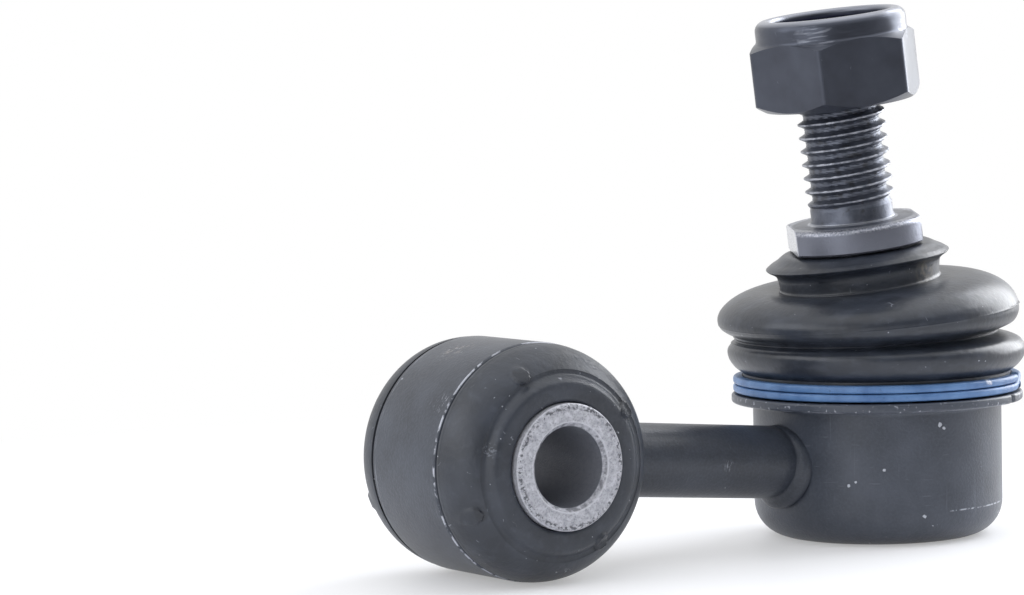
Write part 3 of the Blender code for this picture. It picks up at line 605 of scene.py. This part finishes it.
ROWS_PER_PITCH = 24
STUD_END = COLLAR_TOP + STUD_REACH
TIP_CUT = 0.9 * MM
TIP_SLOPE = 1.1
SHANK_RADIUS = 4.57 * MM
SHOULDER_FOOT = 13.6 * MM
NECK_TOP = 8.6 * MM
NECK_MEETS_BALL = 55.8
COLLAR_SCORE = (-3.9, -7.1, 22.6)
PHOSPHATE_ROUGHNESS = 0.36
MILLED_ROUGHNESS = 0.14
STUD_SIDES = 144


def thread_depth(phase):
    """How deep a rolled 60 degree thread is at a share of its pitch, counted from the crest.

    The roll leaves a fine seam along the crest and a faint ridge along the root.
    """
    away = abs(phase - round(phase))
    seam = 0.035 * MM * max(1 - away / 0.025, 0)
    ridge = 0.05 * MM * max(1 - abs(away - 0.4) / 0.04, 0)
    flank = min(max((away - 0.06) / 0.28, 0), 1)
    return seam + THREAD_DEPTH * flank * (1 + 0.1 * sin(pi * flank)) - ridge


def stud_point(height, angle):
    """The threaded shank's radius at a height and an angle: cut back at its tip, run out at its foot."""
    depth = thread_depth((height - THREAD_START) / THREAD_PITCH - angle / (2 * pi))
    run_out = min(max((height - THREAD_START) / (0.7 * THREAD_PITCH), 0), 1)
    radius = SHANK_RADIUS + (THREAD_RADIUS - depth - SHANK_RADIUS) * run_out
    return min(radius, THREAD_RADIUS - TIP_CUT + (STUD_END - height) * TIP_SLOPE)


def stud_shape(radius, height, angle):
    """The turned blank, with its thread rolled and its collar's two flats cut."""
    if height > THREAD_START and radius > THREAD_RADIUS - 0.01 * MM:
        radius = stud_point(height, angle)
    if COLLAR_BASE - 0.01 * MM <= height <= COLLAR_TOP + 0.01 * MM:
        facing = abs(cos(angle - COLLAR_TURN))
        if facing > 0.001:
            radius = min(radius, COLLAR_FLATS / 2 / facing)
    return radius * cos(angle), radius * sin(angle), height


rows = ceil((STUD_END - THREAD_START) / (THREAD_PITCH / ROWS_PER_PITCH))
outline = [(0, STUD_END)]
outline += [(THREAD_RADIUS, STUD_END - (STUD_END - THREAD_START) * row / rows) for row in range(rows)]
outline += [
    (SHANK_RADIUS, THREAD_START),
    (SHANK_RADIUS, COLLAR_TOP + 0.5 * MM),
    (SHANK_RADIUS + 0.15 * MM, COLLAR_TOP + 0.15 * MM),
    (SHANK_RADIUS + 0.5 * MM, COLLAR_TOP),
]
outline += arc(COLLAR_RADIUS - COLLAR_EDGE, COLLAR_TOP - COLLAR_EDGE, COLLAR_EDGE, 90, 0, 6)
outline += [
    (COLLAR_RADIUS, COLLAR_BASE + 0.2 * MM),
    (COLLAR_RADIUS - 0.2 * MM, COLLAR_BASE),
    (SHOULDER_RADIUS, COLLAR_BASE),
    (SHOULDER_RADIUS, SHOULDER_FOOT),
    (NECK_RADIUS, NECK_TOP),
]
outline += arc(0, 0, BALL_RADIUS, NECK_MEETS_BALL, -90, 40)[:-1] + [(0, -BALL_RADIUS)]
stud_material, tree, shader, place = new_material("phosphated_steel", PHOSPHATE_ROUGHNESS, metallic=0.7)
radius, height = axis_places(tree, place)
cloud = patches(tree, place, 1.5 * MM, 0.3, 0.7, 4)
tone = over(tree, colour("4b4f5a"), cloud, colour("646873"))
rust = both(tree, patches(tree, place, 0.9 * MM, 0.56, 0.66, 4, shift=0.3), 0.5)
tone = over(tree, tone, rust, colour("3a3835"))
collar = add_node(tree, "MapRange", {"Value": radius, "From Min": 6.6 * MM, "From Max": 6.9 * MM}).outputs[0]
tone = over(tree, tone, both(tree, collar, 0.85), colour("757883"))
crest = add_node(tree, "MapRange", {"Value": radius, "From Min": THREAD_RADIUS - 0.08 * MM,
                                    "From Max": THREAD_RADIUS - 0.03 * MM}).outputs[0]
shank = add_node(tree, "MapRange", {"Value": radius, "From Min": 5.1 * MM, "From Max": 5.0 * MM}).outputs[0]
# The thread's crests are painted lighter in patches: partly rubbed bare, partly a painted highlight.
crest_wear_and_highlight = both(tree, both(tree, crest, shank), patches(tree, place, 1.1 * MM, 0.3, 0.55, 3))
tone = over(tree, tone, crest_wear_and_highlight, colour("a3a6af"))
rubbed = band(tree, height, COLLAR_TOP - 0.2 * MM, 0.2 * MM, 0.2 * MM)
rubbed = both(tree, rubbed, patches(tree, place, 0.22 * MM, 0.38, 0.66, 4))
tone = over(tree, tone, both(tree, both(tree, rubbed, collar), 0.7), colour("bfc1c9"))
across = add_node(tree, "VectorMath", {0: place, 1: (cos(COLLAR_TURN), sin(COLLAR_TURN), 0)},
                  operation="DOT_PRODUCT").outputs["Value"]
span = add_node(tree, "Math", {0: across}, operation="ABSOLUTE").outputs[0]
milled = both(tree, band(tree, span, COLLAR_FLATS / 2, 0.04 * MM, 0.04 * MM), collar)
tone = over(tree, tone, milled, colour("b6b9c2"))
score = both(tree, near(tree, place, COLLAR_SCORE, 0.6, 0.4),
             hairs(tree, place, 2.5 * MM, 0.01, stretch=(1, 1, 0.6), shift=0.1))
tone = over(tree, tone, score, colour("c4c6cd"))
foot = both(tree, band(tree, height, COLLAR_TOP + 0.12 * MM, 0.05 * MM, 0.08 * MM), shank)
tone = over(tree, tone, both(tree, foot, 0.6), colour("b0b3bb"))
tree.links.new(shader.inputs["Base Color"], tone)
gloss = add_node(tree, "MapRange", {"Value": milled, "To Min": PHOSPHATE_ROUGHNESS,
                                    "To Max": MILLED_ROUGHNESS}).outputs[0]
tree.links.new(shader.inputs["Roughness"], gloss)
add_bump(tree, shader, patches(tree, place, 0.3 * MM, 0.3, 0.7, 3), 0.01 * MM)
fit("stud_forging",
    turned("stud_forging", outline, STUD_SIDES, closed=False, sharp=40, shape=stud_shape), stud_material,
    "stud", ["ball_stud"], STUD_PLACE)


# Dust boot
# Two-fold bellows moulded in chloroprene rubber: satin black with a faint grey bloom. The blue ring
# clamps its lower bead on the cup, its neck grips the stud under a flared lip, and it is drawn over
# to the side that the stud leans to.

BEAD_BASE = FLANGE_TOP + 0.2 * MM
BEAD_RADIUS = 14.9 * MM
BEAD_BORE = 13.5 * MM
BOOT_WALL = 1.4 * MM
FOLD_PITCH = 4.35 * MM
LOWER_FOLD = BEAD_BASE + FOLD_PITCH
LOWER_RADIUS = BEAD_RADIUS + 1.65 * MM
WAIST = LOWER_FOLD + 1.9 * MM
WAIST_RADIUS = BEAD_RADIUS - 0.35 * MM
UPPER_FOLD = LOWER_FOLD + FOLD_PITCH
UPPER_RADIUS = BEAD_RADIUS + 1.8 * MM
DOME_RISE = 3.5 * MM
BOOT_NECK = 9.0 * MM
BOOT_TOP = BALL_CENTRE.z + COLLAR_BASE - 0.3 * MM
LIP_RADIUS = BOOT_NECK + 1.2 * MM
LIP_HEIGHT = BOOT_TOP - 1.0 * MM
PRESSED_TURN = radians(146)
ROOF_BULGE = 0.5 * MM
WAIST_SHIFT = 0.9 * MM
WAIST_REACH = 0.9 * MM
SIDE_DROOP = 0.32 * MM
END_DROOP = 0.08 * MM
FLASH_TURN = radians(306)
MOULD_MARK = (-10.5, 8.3, 27.4)
GREASE = (0.2, -8.6, 30.0)
STILL = BEAD_BASE + 0.8 * FOLD_PITCH
FOLLOWING = UPPER_FOLD + 3.5 * MM


def dome(width, rise, steps, fullness=2.15):
    """A full-shouldered roof from the boot's neck outwards and down to the rim of its upper fold."""
    points = []
    for step in range(1, steps):
        turn = radians(90 - 90 * step / steps)
        points.append((BOOT_NECK + width * cos(turn) ** (2 / fullness),
                       UPPER_FOLD + rise * sin(turn) ** (2 / fullness)))
    return points


def ripple(angle, seed):
    """A ragged line from -1 to 1 that closes on itself round the boot."""
    return noise.noise((9 * cos(angle), 9 * sin(angle), seed))


def boot_shape(radius, height, angle):
    """Turns each height about the ball's centre by its share of the stud's lean.

    The side that the stud leans to bulges: its roof stands fuller and its waist is pressed shut. The
    lip droops at both sides, and the mould's parting line stands out in rags of flash.
    """
    squeezed = cos(angle - PRESSED_TURN)
    if radius > UPPER_RADIUS + 0.01 * MM:
        rags = 0.3 + 1.6 * max(1 - abs(angle - FLASH_TURN) / 0.35, 0) * (1 + 1.2 * ripple(angle, 2))
        radius = UPPER_RADIUS + (radius - UPPER_RADIUS) * rags
    out = min(max((radius - BOOT_NECK) / (UPPER_RADIUS - BOOT_NECK), 0), 1)
    if height > LIP_HEIGHT - 1.2 * MM:
        out = min(max((radius - BOOT_NECK + 0.9 * MM) / MM, 0), 1)
        height -= out * (SIDE_DROOP * squeezed ** 2 + END_DROOP * squeezed)
    elif height > UPPER_FOLD:
        height += ROOF_BULGE * sin(pi * out) ** 0.6 * max(squeezed, 0) * min((height - UPPER_FOLD) / MM, 1)
    pinch = max(1 - abs(height - WAIST) / WAIST_REACH, 0)
    radius += WAIST_SHIFT * pinch * pinch * (3 - 2 * pinch) * squeezed
    share = min(max((height - STILL) / (FOLLOWING - STILL), 0), 1)
    share = share * share * (3 - 2 * share)
    spot = Vector((radius * cos(angle), radius * sin(angle), height)) - BALL_CENTRE
    return Matrix.Rotation(LEAN * share, 3, "Y") @ spot + BALL_CENTRE


roof = smoothed([
    (SHOULDER_RADIUS + 0.3 * MM, BOOT_TOP),
    (COLLAR_RADIUS, BOOT_TOP),
    (LIP_RADIUS - 0.7 * MM, LIP_HEIGHT + 0.5 * MM),
    (LIP_RADIUS - 0.12 * MM, LIP_HEIGHT + 0.12 * MM),
    (LIP_RADIUS, LIP_HEIGHT),
    (LIP_RADIUS - 0.2 * MM, LIP_HEIGHT - 0.2 * MM),
    (BOOT_NECK + 0.5 * MM, LIP_HEIGHT - 0.5 * MM),
    (BOOT_NECK + 0.12 * MM, LIP_HEIGHT - 0.9 * MM),
    (BOOT_NECK, LIP_HEIGHT - 1.7 * MM),
    (BOOT_NECK - 0.1 * MM, UPPER_FOLD + DOME_RISE + 0.35 * MM),
    (BOOT_NECK, UPPER_FOLD + DOME_RISE + 0.1 * MM),
    (BOOT_NECK + 0.2 * MM, UPPER_FOLD + DOME_RISE - 0.02 * MM),
    dome(UPPER_RADIUS - BOOT_NECK, DOME_RISE, 32)[3],
], 5)
outside = roof + dome(UPPER_RADIUS - BOOT_NECK, DOME_RISE, 32)[4:]
outside += [
    (UPPER_RADIUS, UPPER_FOLD + 0.1 * MM),
    (UPPER_RADIUS + 0.07 * MM, UPPER_FOLD + 0.05 * MM),
    (UPPER_RADIUS + 0.1 * MM, UPPER_FOLD),
    (UPPER_RADIUS + 0.05 * MM, UPPER_FOLD - 0.07 * MM),
]
outside += smoothed([
    (UPPER_RADIUS, UPPER_FOLD - 0.1 * MM),
    (UPPER_RADIUS - 0.13 * MM, UPPER_FOLD - 0.7 * MM),
    (UPPER_RADIUS - 0.65 * MM, UPPER_FOLD - 1.4 * MM),
    (WAIST_RADIUS + 0.6 * MM, WAIST + 0.45 * MM),
    (WAIST_RADIUS, WAIST),
    (WAIST_RADIUS + 0.5 * MM, WAIST - 0.3 * MM),
    (LOWER_RADIUS - 0.75 * MM, LOWER_FOLD + 1.3 * MM),
    (LOWER_RADIUS - 0.15 * MM, LOWER_FOLD + 0.7 * MM),
    (LOWER_RADIUS, LOWER_FOLD),
    (LOWER_RADIUS - 0.2 * MM, LOWER_FOLD - 0.8 * MM),
    (LOWER_RADIUS - 0.8 * MM, LOWER_FOLD - 1.6 * MM),
    (BEAD_RADIUS + 0.1 * MM, LOWER_FOLD - 2.2 * MM),
    (BEAD_RADIUS, LOWER_FOLD - 2.5 * MM),
    (BEAD_RADIUS, BEAD_BASE),
], 5)
inside = [
    (BEAD_BORE, BEAD_BASE),
    (BEAD_BORE, LOWER_FOLD - 2.4 * MM),
    (LOWER_RADIUS - BOOT_WALL, LOWER_FOLD - 0.6 * MM),
    (LOWER_RADIUS - BOOT_WALL, LOWER_FOLD + 0.6 * MM),
    (WAIST_RADIUS - BOOT_WALL, WAIST - 0.3 * MM),
    (WAIST_RADIUS - BOOT_WALL, WAIST + 0.3 * MM),
    (UPPER_RADIUS - BOOT_WALL, UPPER_FOLD - 0.6 * MM),
]
inside += reversed(dome(UPPER_RADIUS - BOOT_NECK - BOOT_WALL, DOME_RISE - BOOT_WALL, 8))
inside += [
    (BOOT_NECK - BOOT_WALL, UPPER_FOLD + DOME_RISE - BOOT_WALL + 0.25 * MM),
    (BOOT_NECK - BOOT_WALL, BOOT_TOP - BOOT_WALL),
    (SHOULDER_RADIUS + 0.3 * MM, BOOT_TOP - BOOT_WALL),
]
boot_material, tree, shader, place = new_material("chloroprene", 0.34, ior=1.52)
cloud = patches(tree, place, 4 * MM, 0.3, 0.7, 4)
tone = over(tree, colour("20242c"), cloud, colour("2e333d"))
bloom = patches(tree, place, 2.2 * MM, 0.5, 0.8, 4, stretch=(1, 1, 2.2), shift=0.5)
tone = over(tree, tone, both(tree, bloom, 0.25), colour("5a606d"))
grease = both(tree, near(tree, place, GREASE, 0.9, 1.2), patches(tree, place, 0.8 * MM, 0.42, 0.6, 4))
tone = over(tree, tone, both(tree, grease, 0.6), colour("6b6456"))
mark = both(tree, near(tree, place, MOULD_MARK, 0.9, 0.4),
            patches(tree, place, 0.7 * MM, 0.5, 0.56, 3, stretch=(1, 1, 2), shift=0.2))
tone = over(tree, tone, both(tree, mark, 0.9), colour("101216"))
scores = both(tree, hairs(tree, place, 2.5 * MM, 0.006),
              patches(tree, place, 1.5 * MM, 0.67, 0.72, 2, shift=0.6))
tone = over(tree, tone, both(tree, scores, 0.5), colour("8a8e99"))
dust = patches(tree, place, 0.4 * MM, 0.79, 0.81, 1, shift=0.3)
tone = over(tree, tone, both(tree, dust, 0.8), colour("a9acb6"))
tree.links.new(shader.inputs["Base Color"], tone)
add_bump(tree, shader, patches(tree, place, 0.6 * MM, 0.3, 0.7, 4), 0.015 * MM)
boot = fit("boot_bellows", turned("boot_bellows", outside + inside, SIDES, sharp=50, shape=boot_shape),
           boot_material, None, ["dust_boot"])
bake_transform(boot)


# Clamp ring
# Flat spring wire with a blue coat, wound twice round the boot's bead. The lower turn steps up to the
# upper one beside the wire's two ends. It gives the eye two satin blue bands with rounded edges and a
# dark line between them, cloudy and chipped in small dark dots.

WIRE_WIDTH = 1.05 * MM
WIRE_HEIGHT = 0.85 * MM
WIRE_CLIMB = WIRE_HEIGHT + 0.08 * MM
CLAMP_BORE = BEAD_RADIUS + 0.05 * MM
CLAMP_END_TURN = radians(-44)
WIRE_KNOCK = (2.9, -15.6, 17.9)
TURN_STEPS = 288
STEP_UP = TURN_STEPS / 40


def wire_ring(name):
    """The wire's rounded flat section, carried along its two turns, with closed ends."""
    section = filleted([
        (CLAMP_BORE, 0, 0.12 * MM),
        (CLAMP_BORE + WIRE_WIDTH, 0, 0.3 * MM),
        (CLAMP_BORE + WIRE_WIDTH, WIRE_HEIGHT, 0.3 * MM),
        (CLAMP_BORE, WIRE_HEIGHT, 0.12 * MM),
    ], 4)
    total = 2 * TURN_STEPS - int(STEP_UP)
    verts, faces = [], []
    for step in range(total + 1):
        turn = CLAMP_END_TURN + 2 * pi * step / TURN_STEPS
        rise = min(max((step - TURN_STEPS + STEP_UP) / STEP_UP, 0), 1) * WIRE_CLIMB
        for radius, height in section:
            verts.append((radius * cos(turn), radius * sin(turn), BEAD_BASE + height + rise))
    count = len(section)
    for step in range(total):
        for corner in range(count):
            after = (corner + 1) % count
            faces.append((step * count + corner, (step + 1) * count + corner,
                          (step + 1) * count + after, step * count + after))
    faces.append(tuple(range(count)))
    faces.append(tuple(reversed(range(total * count, (total + 1) * count))))
    mesh = bpy.data.meshes.new(name)
    mesh.from_pydata(verts, [], faces)
    finish_mesh(mesh, 50)
    return mesh


wire_material, tree, shader, place = new_material("coated_wire", 0.4, ior=1.5)
cloud = patches(tree, place, 2.5 * MM, 0.3, 0.7, 4)
tone = over(tree, colour("3f6292"), cloud, colour("5f83b1"))
chips = patches(tree, place, 0.6 * MM, 0.7, 0.73, 2)
tone = over(tree, tone, both(tree, chips, 0.6), colour("2a4468"))
knock = both(tree, near(tree, place, WIRE_KNOCK, 0.35, 0.3), patches(tree, place, 0.3 * MM, 0.4, 0.5, 3))
tone = over(tree, tone, knock, colour("c4c8d2"))
tree.links.new(shader.inputs["Base Color"], tone)
add_bump(tree, shader, patches(tree, place, 0.4 * MM, 0.3, 0.7, 3), 0.02 * MM)
fit("clamp_wire", wire_ring("clamp_wire"), wire_material, "link", ["boot_clamp_ring"])


# Lock nut
# A cold-formed M10 hexagon, 17 mm across its flats, with its corners chamfered at both ends and its top
# rim rolled in over the insert. Its dark plating gives the eye calm satin facets, each in one grey. The
# rim's faint streaks, its lighter crown and a light patch at one corner are painted highlights.

NUT_FLATS = 17.0 * MM
NUT_HEIGHT = 10.0 * MM
NUT_HEX_HEIGHT = 7.6 * MM
NUT_RIM = 8.35 * MM
NUT_MOUTH = 6.65 * MM
NUT_BORE = 5.0 * MM
NUT_CORNER = NUT_FLATS / sqrt(3)
NUT_TURN = radians(-18)
NUT_EDGE = 0.25 * MM
NUT_SIDES = 192
POCKET_FLOOR = 6.9 * MM
POCKET_RADIUS = 7.1 * MM
RIM_THICKNESS = 1.0 * MM
RIM_HIGHLIGHT_STREAKS = (-4.6, -7.2, 7.9)
CORNER_HIGHLIGHT = (6.4, -5.6, 7.6)

outline = filleted([
    (NUT_BORE, POCKET_FLOOR),
    (POCKET_RADIUS, POCKET_FLOOR),
    (POCKET_RADIUS, NUT_HEIGHT - RIM_THICKNESS),
    (NUT_MOUTH, NUT_HEIGHT - RIM_THICKNESS, 0.2 * MM),
    (NUT_MOUTH, NUT_HEIGHT, 0.55 * MM),
    (NUT_RIM, NUT_HEIGHT, 1.1 * MM),
    (NUT_RIM, NUT_HEX_HEIGHT, 0.5 * MM),
    (NUT_CORNER, NUT_HEX_HEIGHT - (NUT_CORNER - NUT_RIM) * tan(radians(30))),
    (NUT_CORNER, (NUT_CORNER - NUT_FLATS / 2 + NUT_EDGE) * tan(radians(33))),
    (NUT_FLATS / 2 - NUT_EDGE, 0),
    (NUT_BORE + 0.5 * MM, 0),
    (NUT_BORE, 0.5 * MM),
])
blank = turned("nut_blank", outline, NUT_SIDES)
nut_material, tree, shader, place = new_material("plated_steel", 0.3, metallic=0.65)
height = axis_places(tree, place)[1]
cloud = patches(tree, place, 3.5 * MM, 0.3, 0.7, 3)
tone = over(tree, colour("42454f"), cloud, colour("4d515c"))
rolled = add_node(tree, "MapRange", {"Value": height, "From Min": NUT_HEX_HEIGHT - 0.7 * MM,
                                     "From Max": NUT_HEX_HEIGHT + 0.2 * MM}).outputs[0]
# Painted highlight: a few short light streaks on the rolled rim, near one spot.
drawn = both(tree, near(tree, place, RIM_HIGHLIGHT_STREAKS, 1.6, 0.8),
             patches(tree, place, 2.2 * MM, 0.54, 0.62, 1, stretch=(1, 1, 9), shift=0.35))
tone = over(tree, tone, both(tree, both(tree, drawn, rolled), 0.35), colour("a2a6b1"))
# Painted highlight: the top of the rolled rim is painted lighter.
crown_highlight = add_node(tree, "MapRange", {"Value": height, "From Min": NUT_HEIGHT - 0.5 * MM,
                                    "From Max": NUT_HEIGHT - 0.1 * MM}).outputs[0]
tone = over(tree, tone, both(tree, crown_highlight, 0.75), colour("a9acb6"))
# Painted highlight: a light patch on the rim near one corner.
rub = both(tree, near(tree, place, CORNER_HIGHLIGHT, 0.8, 0.6),
           patches(tree, place, 0.8 * MM, 0.45, 0.6, 3, stretch=(1, 1, 3), shift=0.1))
tone = over(tree, tone, both(tree, rub, 0.4), colour("a9acb6"))
scores = both(tree, hairs(tree, place, 2.5 * MM, 0.005),
              patches(tree, place, 1.6 * MM, 0.66, 0.72, 2, shift=0.1))
tone = over(tree, tone, both(tree, scores, 0.5), colour("7d818d"))
tree.links.new(shader.inputs["Base Color"], tone)
wavy = patches(tree, place, 2.4 * MM, 0.3, 0.7, 1, stretch=(1, 1, 4), shift=0.35)
add_bump(tree, shader, both(tree, wavy, rolled), 0.02 * MM)
nut = fit("nut_hexagon", blank, nut_material, "nut", ["nut_body"],
          STUD_PLACE @ Matrix.Translation((0, 0, NUT_SEAT)) @ Matrix.Rotation(NUT_TURN, 4, "Z"))
bm = bmesh.new()
bmesh.ops.create_circle(bm, cap_ends=True, segments=6, radius=NUT_CORNER)
bmesh.ops.rotate(bm, matrix=Matrix.Rotation(-pi / 2, 3, "Z"), verts=bm.verts)
grown = bmesh.ops.extrude_face_region(bm, geom=bm.faces[:])
for corner in grown["geom"]:
    if isinstance(corner, bmesh.types.BMVert):
        corner.co.z += 2 * NUT_HEIGHT
bmesh.ops.translate(bm, vec=(0, 0, -NUT_HEIGHT / 2), verts=bm.verts)
upright = [edge for edge in bm.edges if abs(edge.verts[0].co.z - edge.verts[1].co.z) > MM]
bmesh.ops.bevel(bm, geom=upright, offset=0.45 * MM, segments=6, affect="EDGES", profile=0.5)
bmesh.ops.recalc_face_normals(bm, faces=bm.faces)
hexagon_mesh = bpy.data.meshes.new("hexagon")
bm.to_mesh(hexagon_mesh)
bm.free()
hexagon = bpy.data.objects.new("hexagon", hexagon_mesh)
bpy.context.scene.collection.objects.link(hexagon)
hexagon.matrix_world = nut.matrix_world
cut = nut.modifiers.new("hexagon", "BOOLEAN")
cut.operation = "INTERSECT"
cut.object = hexagon
bpy.context.view_layer.update()
nut.data = bpy.data.meshes.new_from_object(nut.evaluated_get(bpy.context.evaluated_depsgraph_get()))
nut.modifiers.remove(cut)
bpy.data.objects.remove(hexagon)
finish_mesh(nut.data, 20)


# Nylon insert
# A moulded ring of dark blue nylon, pressed into the nut before its rim is rolled over it. It grips the
# thread, and gives the eye a dull, slightly cloudy violet-blue edge in the nut's mouth.

INSERT_TOP = NUT_HEIGHT - 1.2 * MM
INSERT_DEPTH = 1.7 * MM
INSERT_OUTER = 6.8 * MM
INSERT_BORE = THREAD_RADIUS + 0.05 * MM

insert_material, tree, shader, place = new_material("blue_nylon", 0.4, ior=1.53)
cloud = patches(tree, place, 1.2 * MM, 0.35, 0.65, 3)
tone = over(tree, colour("2c2f60"), cloud, colour("41447a"))
tree.links.new(shader.inputs["Base Color"], tone)
add_bump(tree, shader, patches(tree, place, 0.3 * MM, 0.3, 0.7, 3), 0.02 * MM)
outline = filleted([
    (INSERT_BORE, INSERT_TOP, 0.3 * MM),
    (INSERT_OUTER, INSERT_TOP),
    (INSERT_OUTER, INSERT_TOP - INSERT_DEPTH),
    (INSERT_BORE, INSERT_TOP - INSERT_DEPTH),
])
fit("insert_ring", turned("insert_ring", outline, SIDES // 2), insert_material,
    "nut_insert", ["nylon_insert"], STUD_PLACE @ Matrix.Translation((0, 0, NUT_SEAT)))


# Floor, light and camera
# A matt white table that ends in front of the link, in a light tent: white behind, dim where the camera
# stands, with a soft light at the right and weaker ones at the left, above and in front. The camera
# was fitted to the outlines in the photograph.

TABLE_REACH = 3.0
TABLE_FRONT = 0.24
LIT_MIDDLE = (-25 * MM, 0, 0)
LIT_RADIUS = 0.05
WHITE_RADIUS = 0.16
BEHIND = Vector((0.559, 0.829, 0.0))
SIDEWAYS = Vector((0.829, -0.559, 0.0))


def seen_white(tree, gloss_share):
    """A mask of the rays that see plain white: camera and glass always, gloss to the share given."""
    rays = add_node(tree, "LightPath").outputs
    direct = add_node(tree, "Math", {0: rays["Is Camera Ray"], 1: rays["Is Transmission Ray"]},
                      operation="MAXIMUM").outputs[0]
    gloss = both(tree, rays["Is Glossy Ray"], gloss_share)
    return add_node(tree, "Math", {0: direct, 1: gloss}, operation="MAXIMUM").outputs[0]


table_mesh = bpy.data.meshes.new("table")
corners = ((-1, -TABLE_FRONT), (1, -TABLE_FRONT), (1, TABLE_REACH), (-1, TABLE_REACH))
table_mesh.from_pydata([SIDEWAYS * TABLE_REACH * x + BEHIND * y for x, y in corners], [], [(0, 1, 2, 3)])
table = bpy.data.objects.new("table", table_mesh)
bpy.context.scene.collection.objects.link(table)
material, tree, shader, place = new_material("white_table", 0.5)
shader.inputs["Base Color"].default_value = colour("f8f9fd")
middle = add_node(tree, "VectorMath", {0: place, 1: LIT_MIDDLE}, operation="SUBTRACT")
reach = add_node(tree, "VectorMath", {0: middle.outputs[0]}, operation="LENGTH").outputs["Value"]
far = add_node(tree, "MapRange", {"Value": reach, "From Min": LIT_RADIUS, "From Max": WHITE_RADIUS,
                                  "To Min": 0.35})
paper = add_node(tree, "Emission", {"Color": (1, 1, 1, 1), "Strength": 1.0})
bright = both(tree, far.outputs[0], seen_white(tree, 1.0))
blend = add_node(tree, "MixShader", {0: bright, 1: shader.outputs[0], 2: paper.outputs[0]})
tree.links.new(tree.nodes["Material Output"].inputs["Surface"], blend.outputs[0])
table_mesh.materials.append(material)

world = bpy.data.worlds.new("light_tent")
bpy.context.scene.world = world
world.use_nodes = True
tree = world.node_tree
wall = add_node(tree, "TexCoord").outputs["Generated"]
side = add_node(tree, "VectorMath", {0: wall, 1: (0.25, 0.92, 0.3)}, operation="DOT_PRODUCT")
glow = add_node(tree, "MapRange", {"Value": side.outputs["Value"], "From Min": -0.8, "From Max": 0.8,
                                   "To Min": 0.22, "To Max": 1.0}).outputs[0]
facing = add_node(tree, "VectorMath", {0: wall, 1: BEHIND}, operation="DOT_PRODUCT").outputs["Value"]
behind = add_node(tree, "MapRange", {"Value": facing, "From Min": -0.1, "From Max": 0.4}).outputs[0]
power = add_node(tree, "Mix", {0: seen_white(tree, behind), 2: glow, 3: 1.0})
tree.links.new(tree.nodes["Background"].inputs["Strength"], power.outputs[0])
tree.nodes["Background"].inputs["Color"].default_value = (1, 1, 1, 1)


def soft_light(name, turn, lift, away, size, watts):
    """A square soft box that faces the link, at a compass turn and a lift in degrees."""
    light = bpy.data.lights.new(name, "AREA")
    light.energy = watts
    light.size = size
    light.color = (0.95, 0.97, 1.0)
    lamp = bpy.data.objects.new(name, light)
    lamp.visible_camera = False
    turn, lift = radians(turn), radians(lift)
    reach = Vector((cos(turn) * cos(lift), sin(turn) * cos(lift), sin(lift))) * away
    lamp.matrix_world = Matrix.Translation(reach) @ reach.to_track_quat("Z", "Y").to_matrix().to_4x4()
    bpy.context.scene.collection.objects.link(lamp)


soft_light("right_box", 3, 25, 0.7, 0.6, 6.4)
soft_light("left_box", 165, 30, 0.7, 0.5, 1.2)
soft_light("top_box", -90, 75, 0.8, 1.1, 2.8)
soft_light("front_box", -160, 10, 0.8, 0.6, 1.6)

FOCAL = 3700
WIDE, HIGH = 1024, 595
PIXELS_PER_MM = 8.95
SENSOR = 36
DISTANCE = FOCAL / PIXELS_PER_MM * MM
TARGET = Vector((0, 0, 24.47 * MM))
TARGET_PIXEL = (875.46, 314.62)
YAW, PITCH, ROLL = radians(-33.8), radians(3.96), radians(-1.22)
back = Vector((sin(YAW) * cos(PITCH), -cos(YAW) * cos(PITCH), sin(PITCH)))
level = (-back).cross(Vector((0, 0, 1))).normalized()
plumb = level.cross(-back)
right = cos(ROLL) * level + sin(ROLL) * plumb
up = cos(ROLL) * plumb - sin(ROLL) * level
aside = (TARGET_PIXEL[0] - WIDE / 2) / FOCAL * DISTANCE
above = (HIGH / 2 - TARGET_PIXEL[1]) / FOCAL * DISTANCE
camera = bpy.data.objects.new("camera", bpy.data.cameras.new("camera"))
camera.data.sensor_width = SENSOR
camera.data.lens = FOCAL * SENSOR / WIDE
camera.data.clip_start = 0.01
camera.matrix_world = (Matrix.Translation(TARGET + DISTANCE * back - aside * right - above * up)
                       @ Matrix((right, up, back)).transposed().to_4x4())
bpy.context.scene.collection.objects.link(camera)
bpy.context.scene.camera = camera
bpy.context.scene.view_settings.view_transform = "Standard"
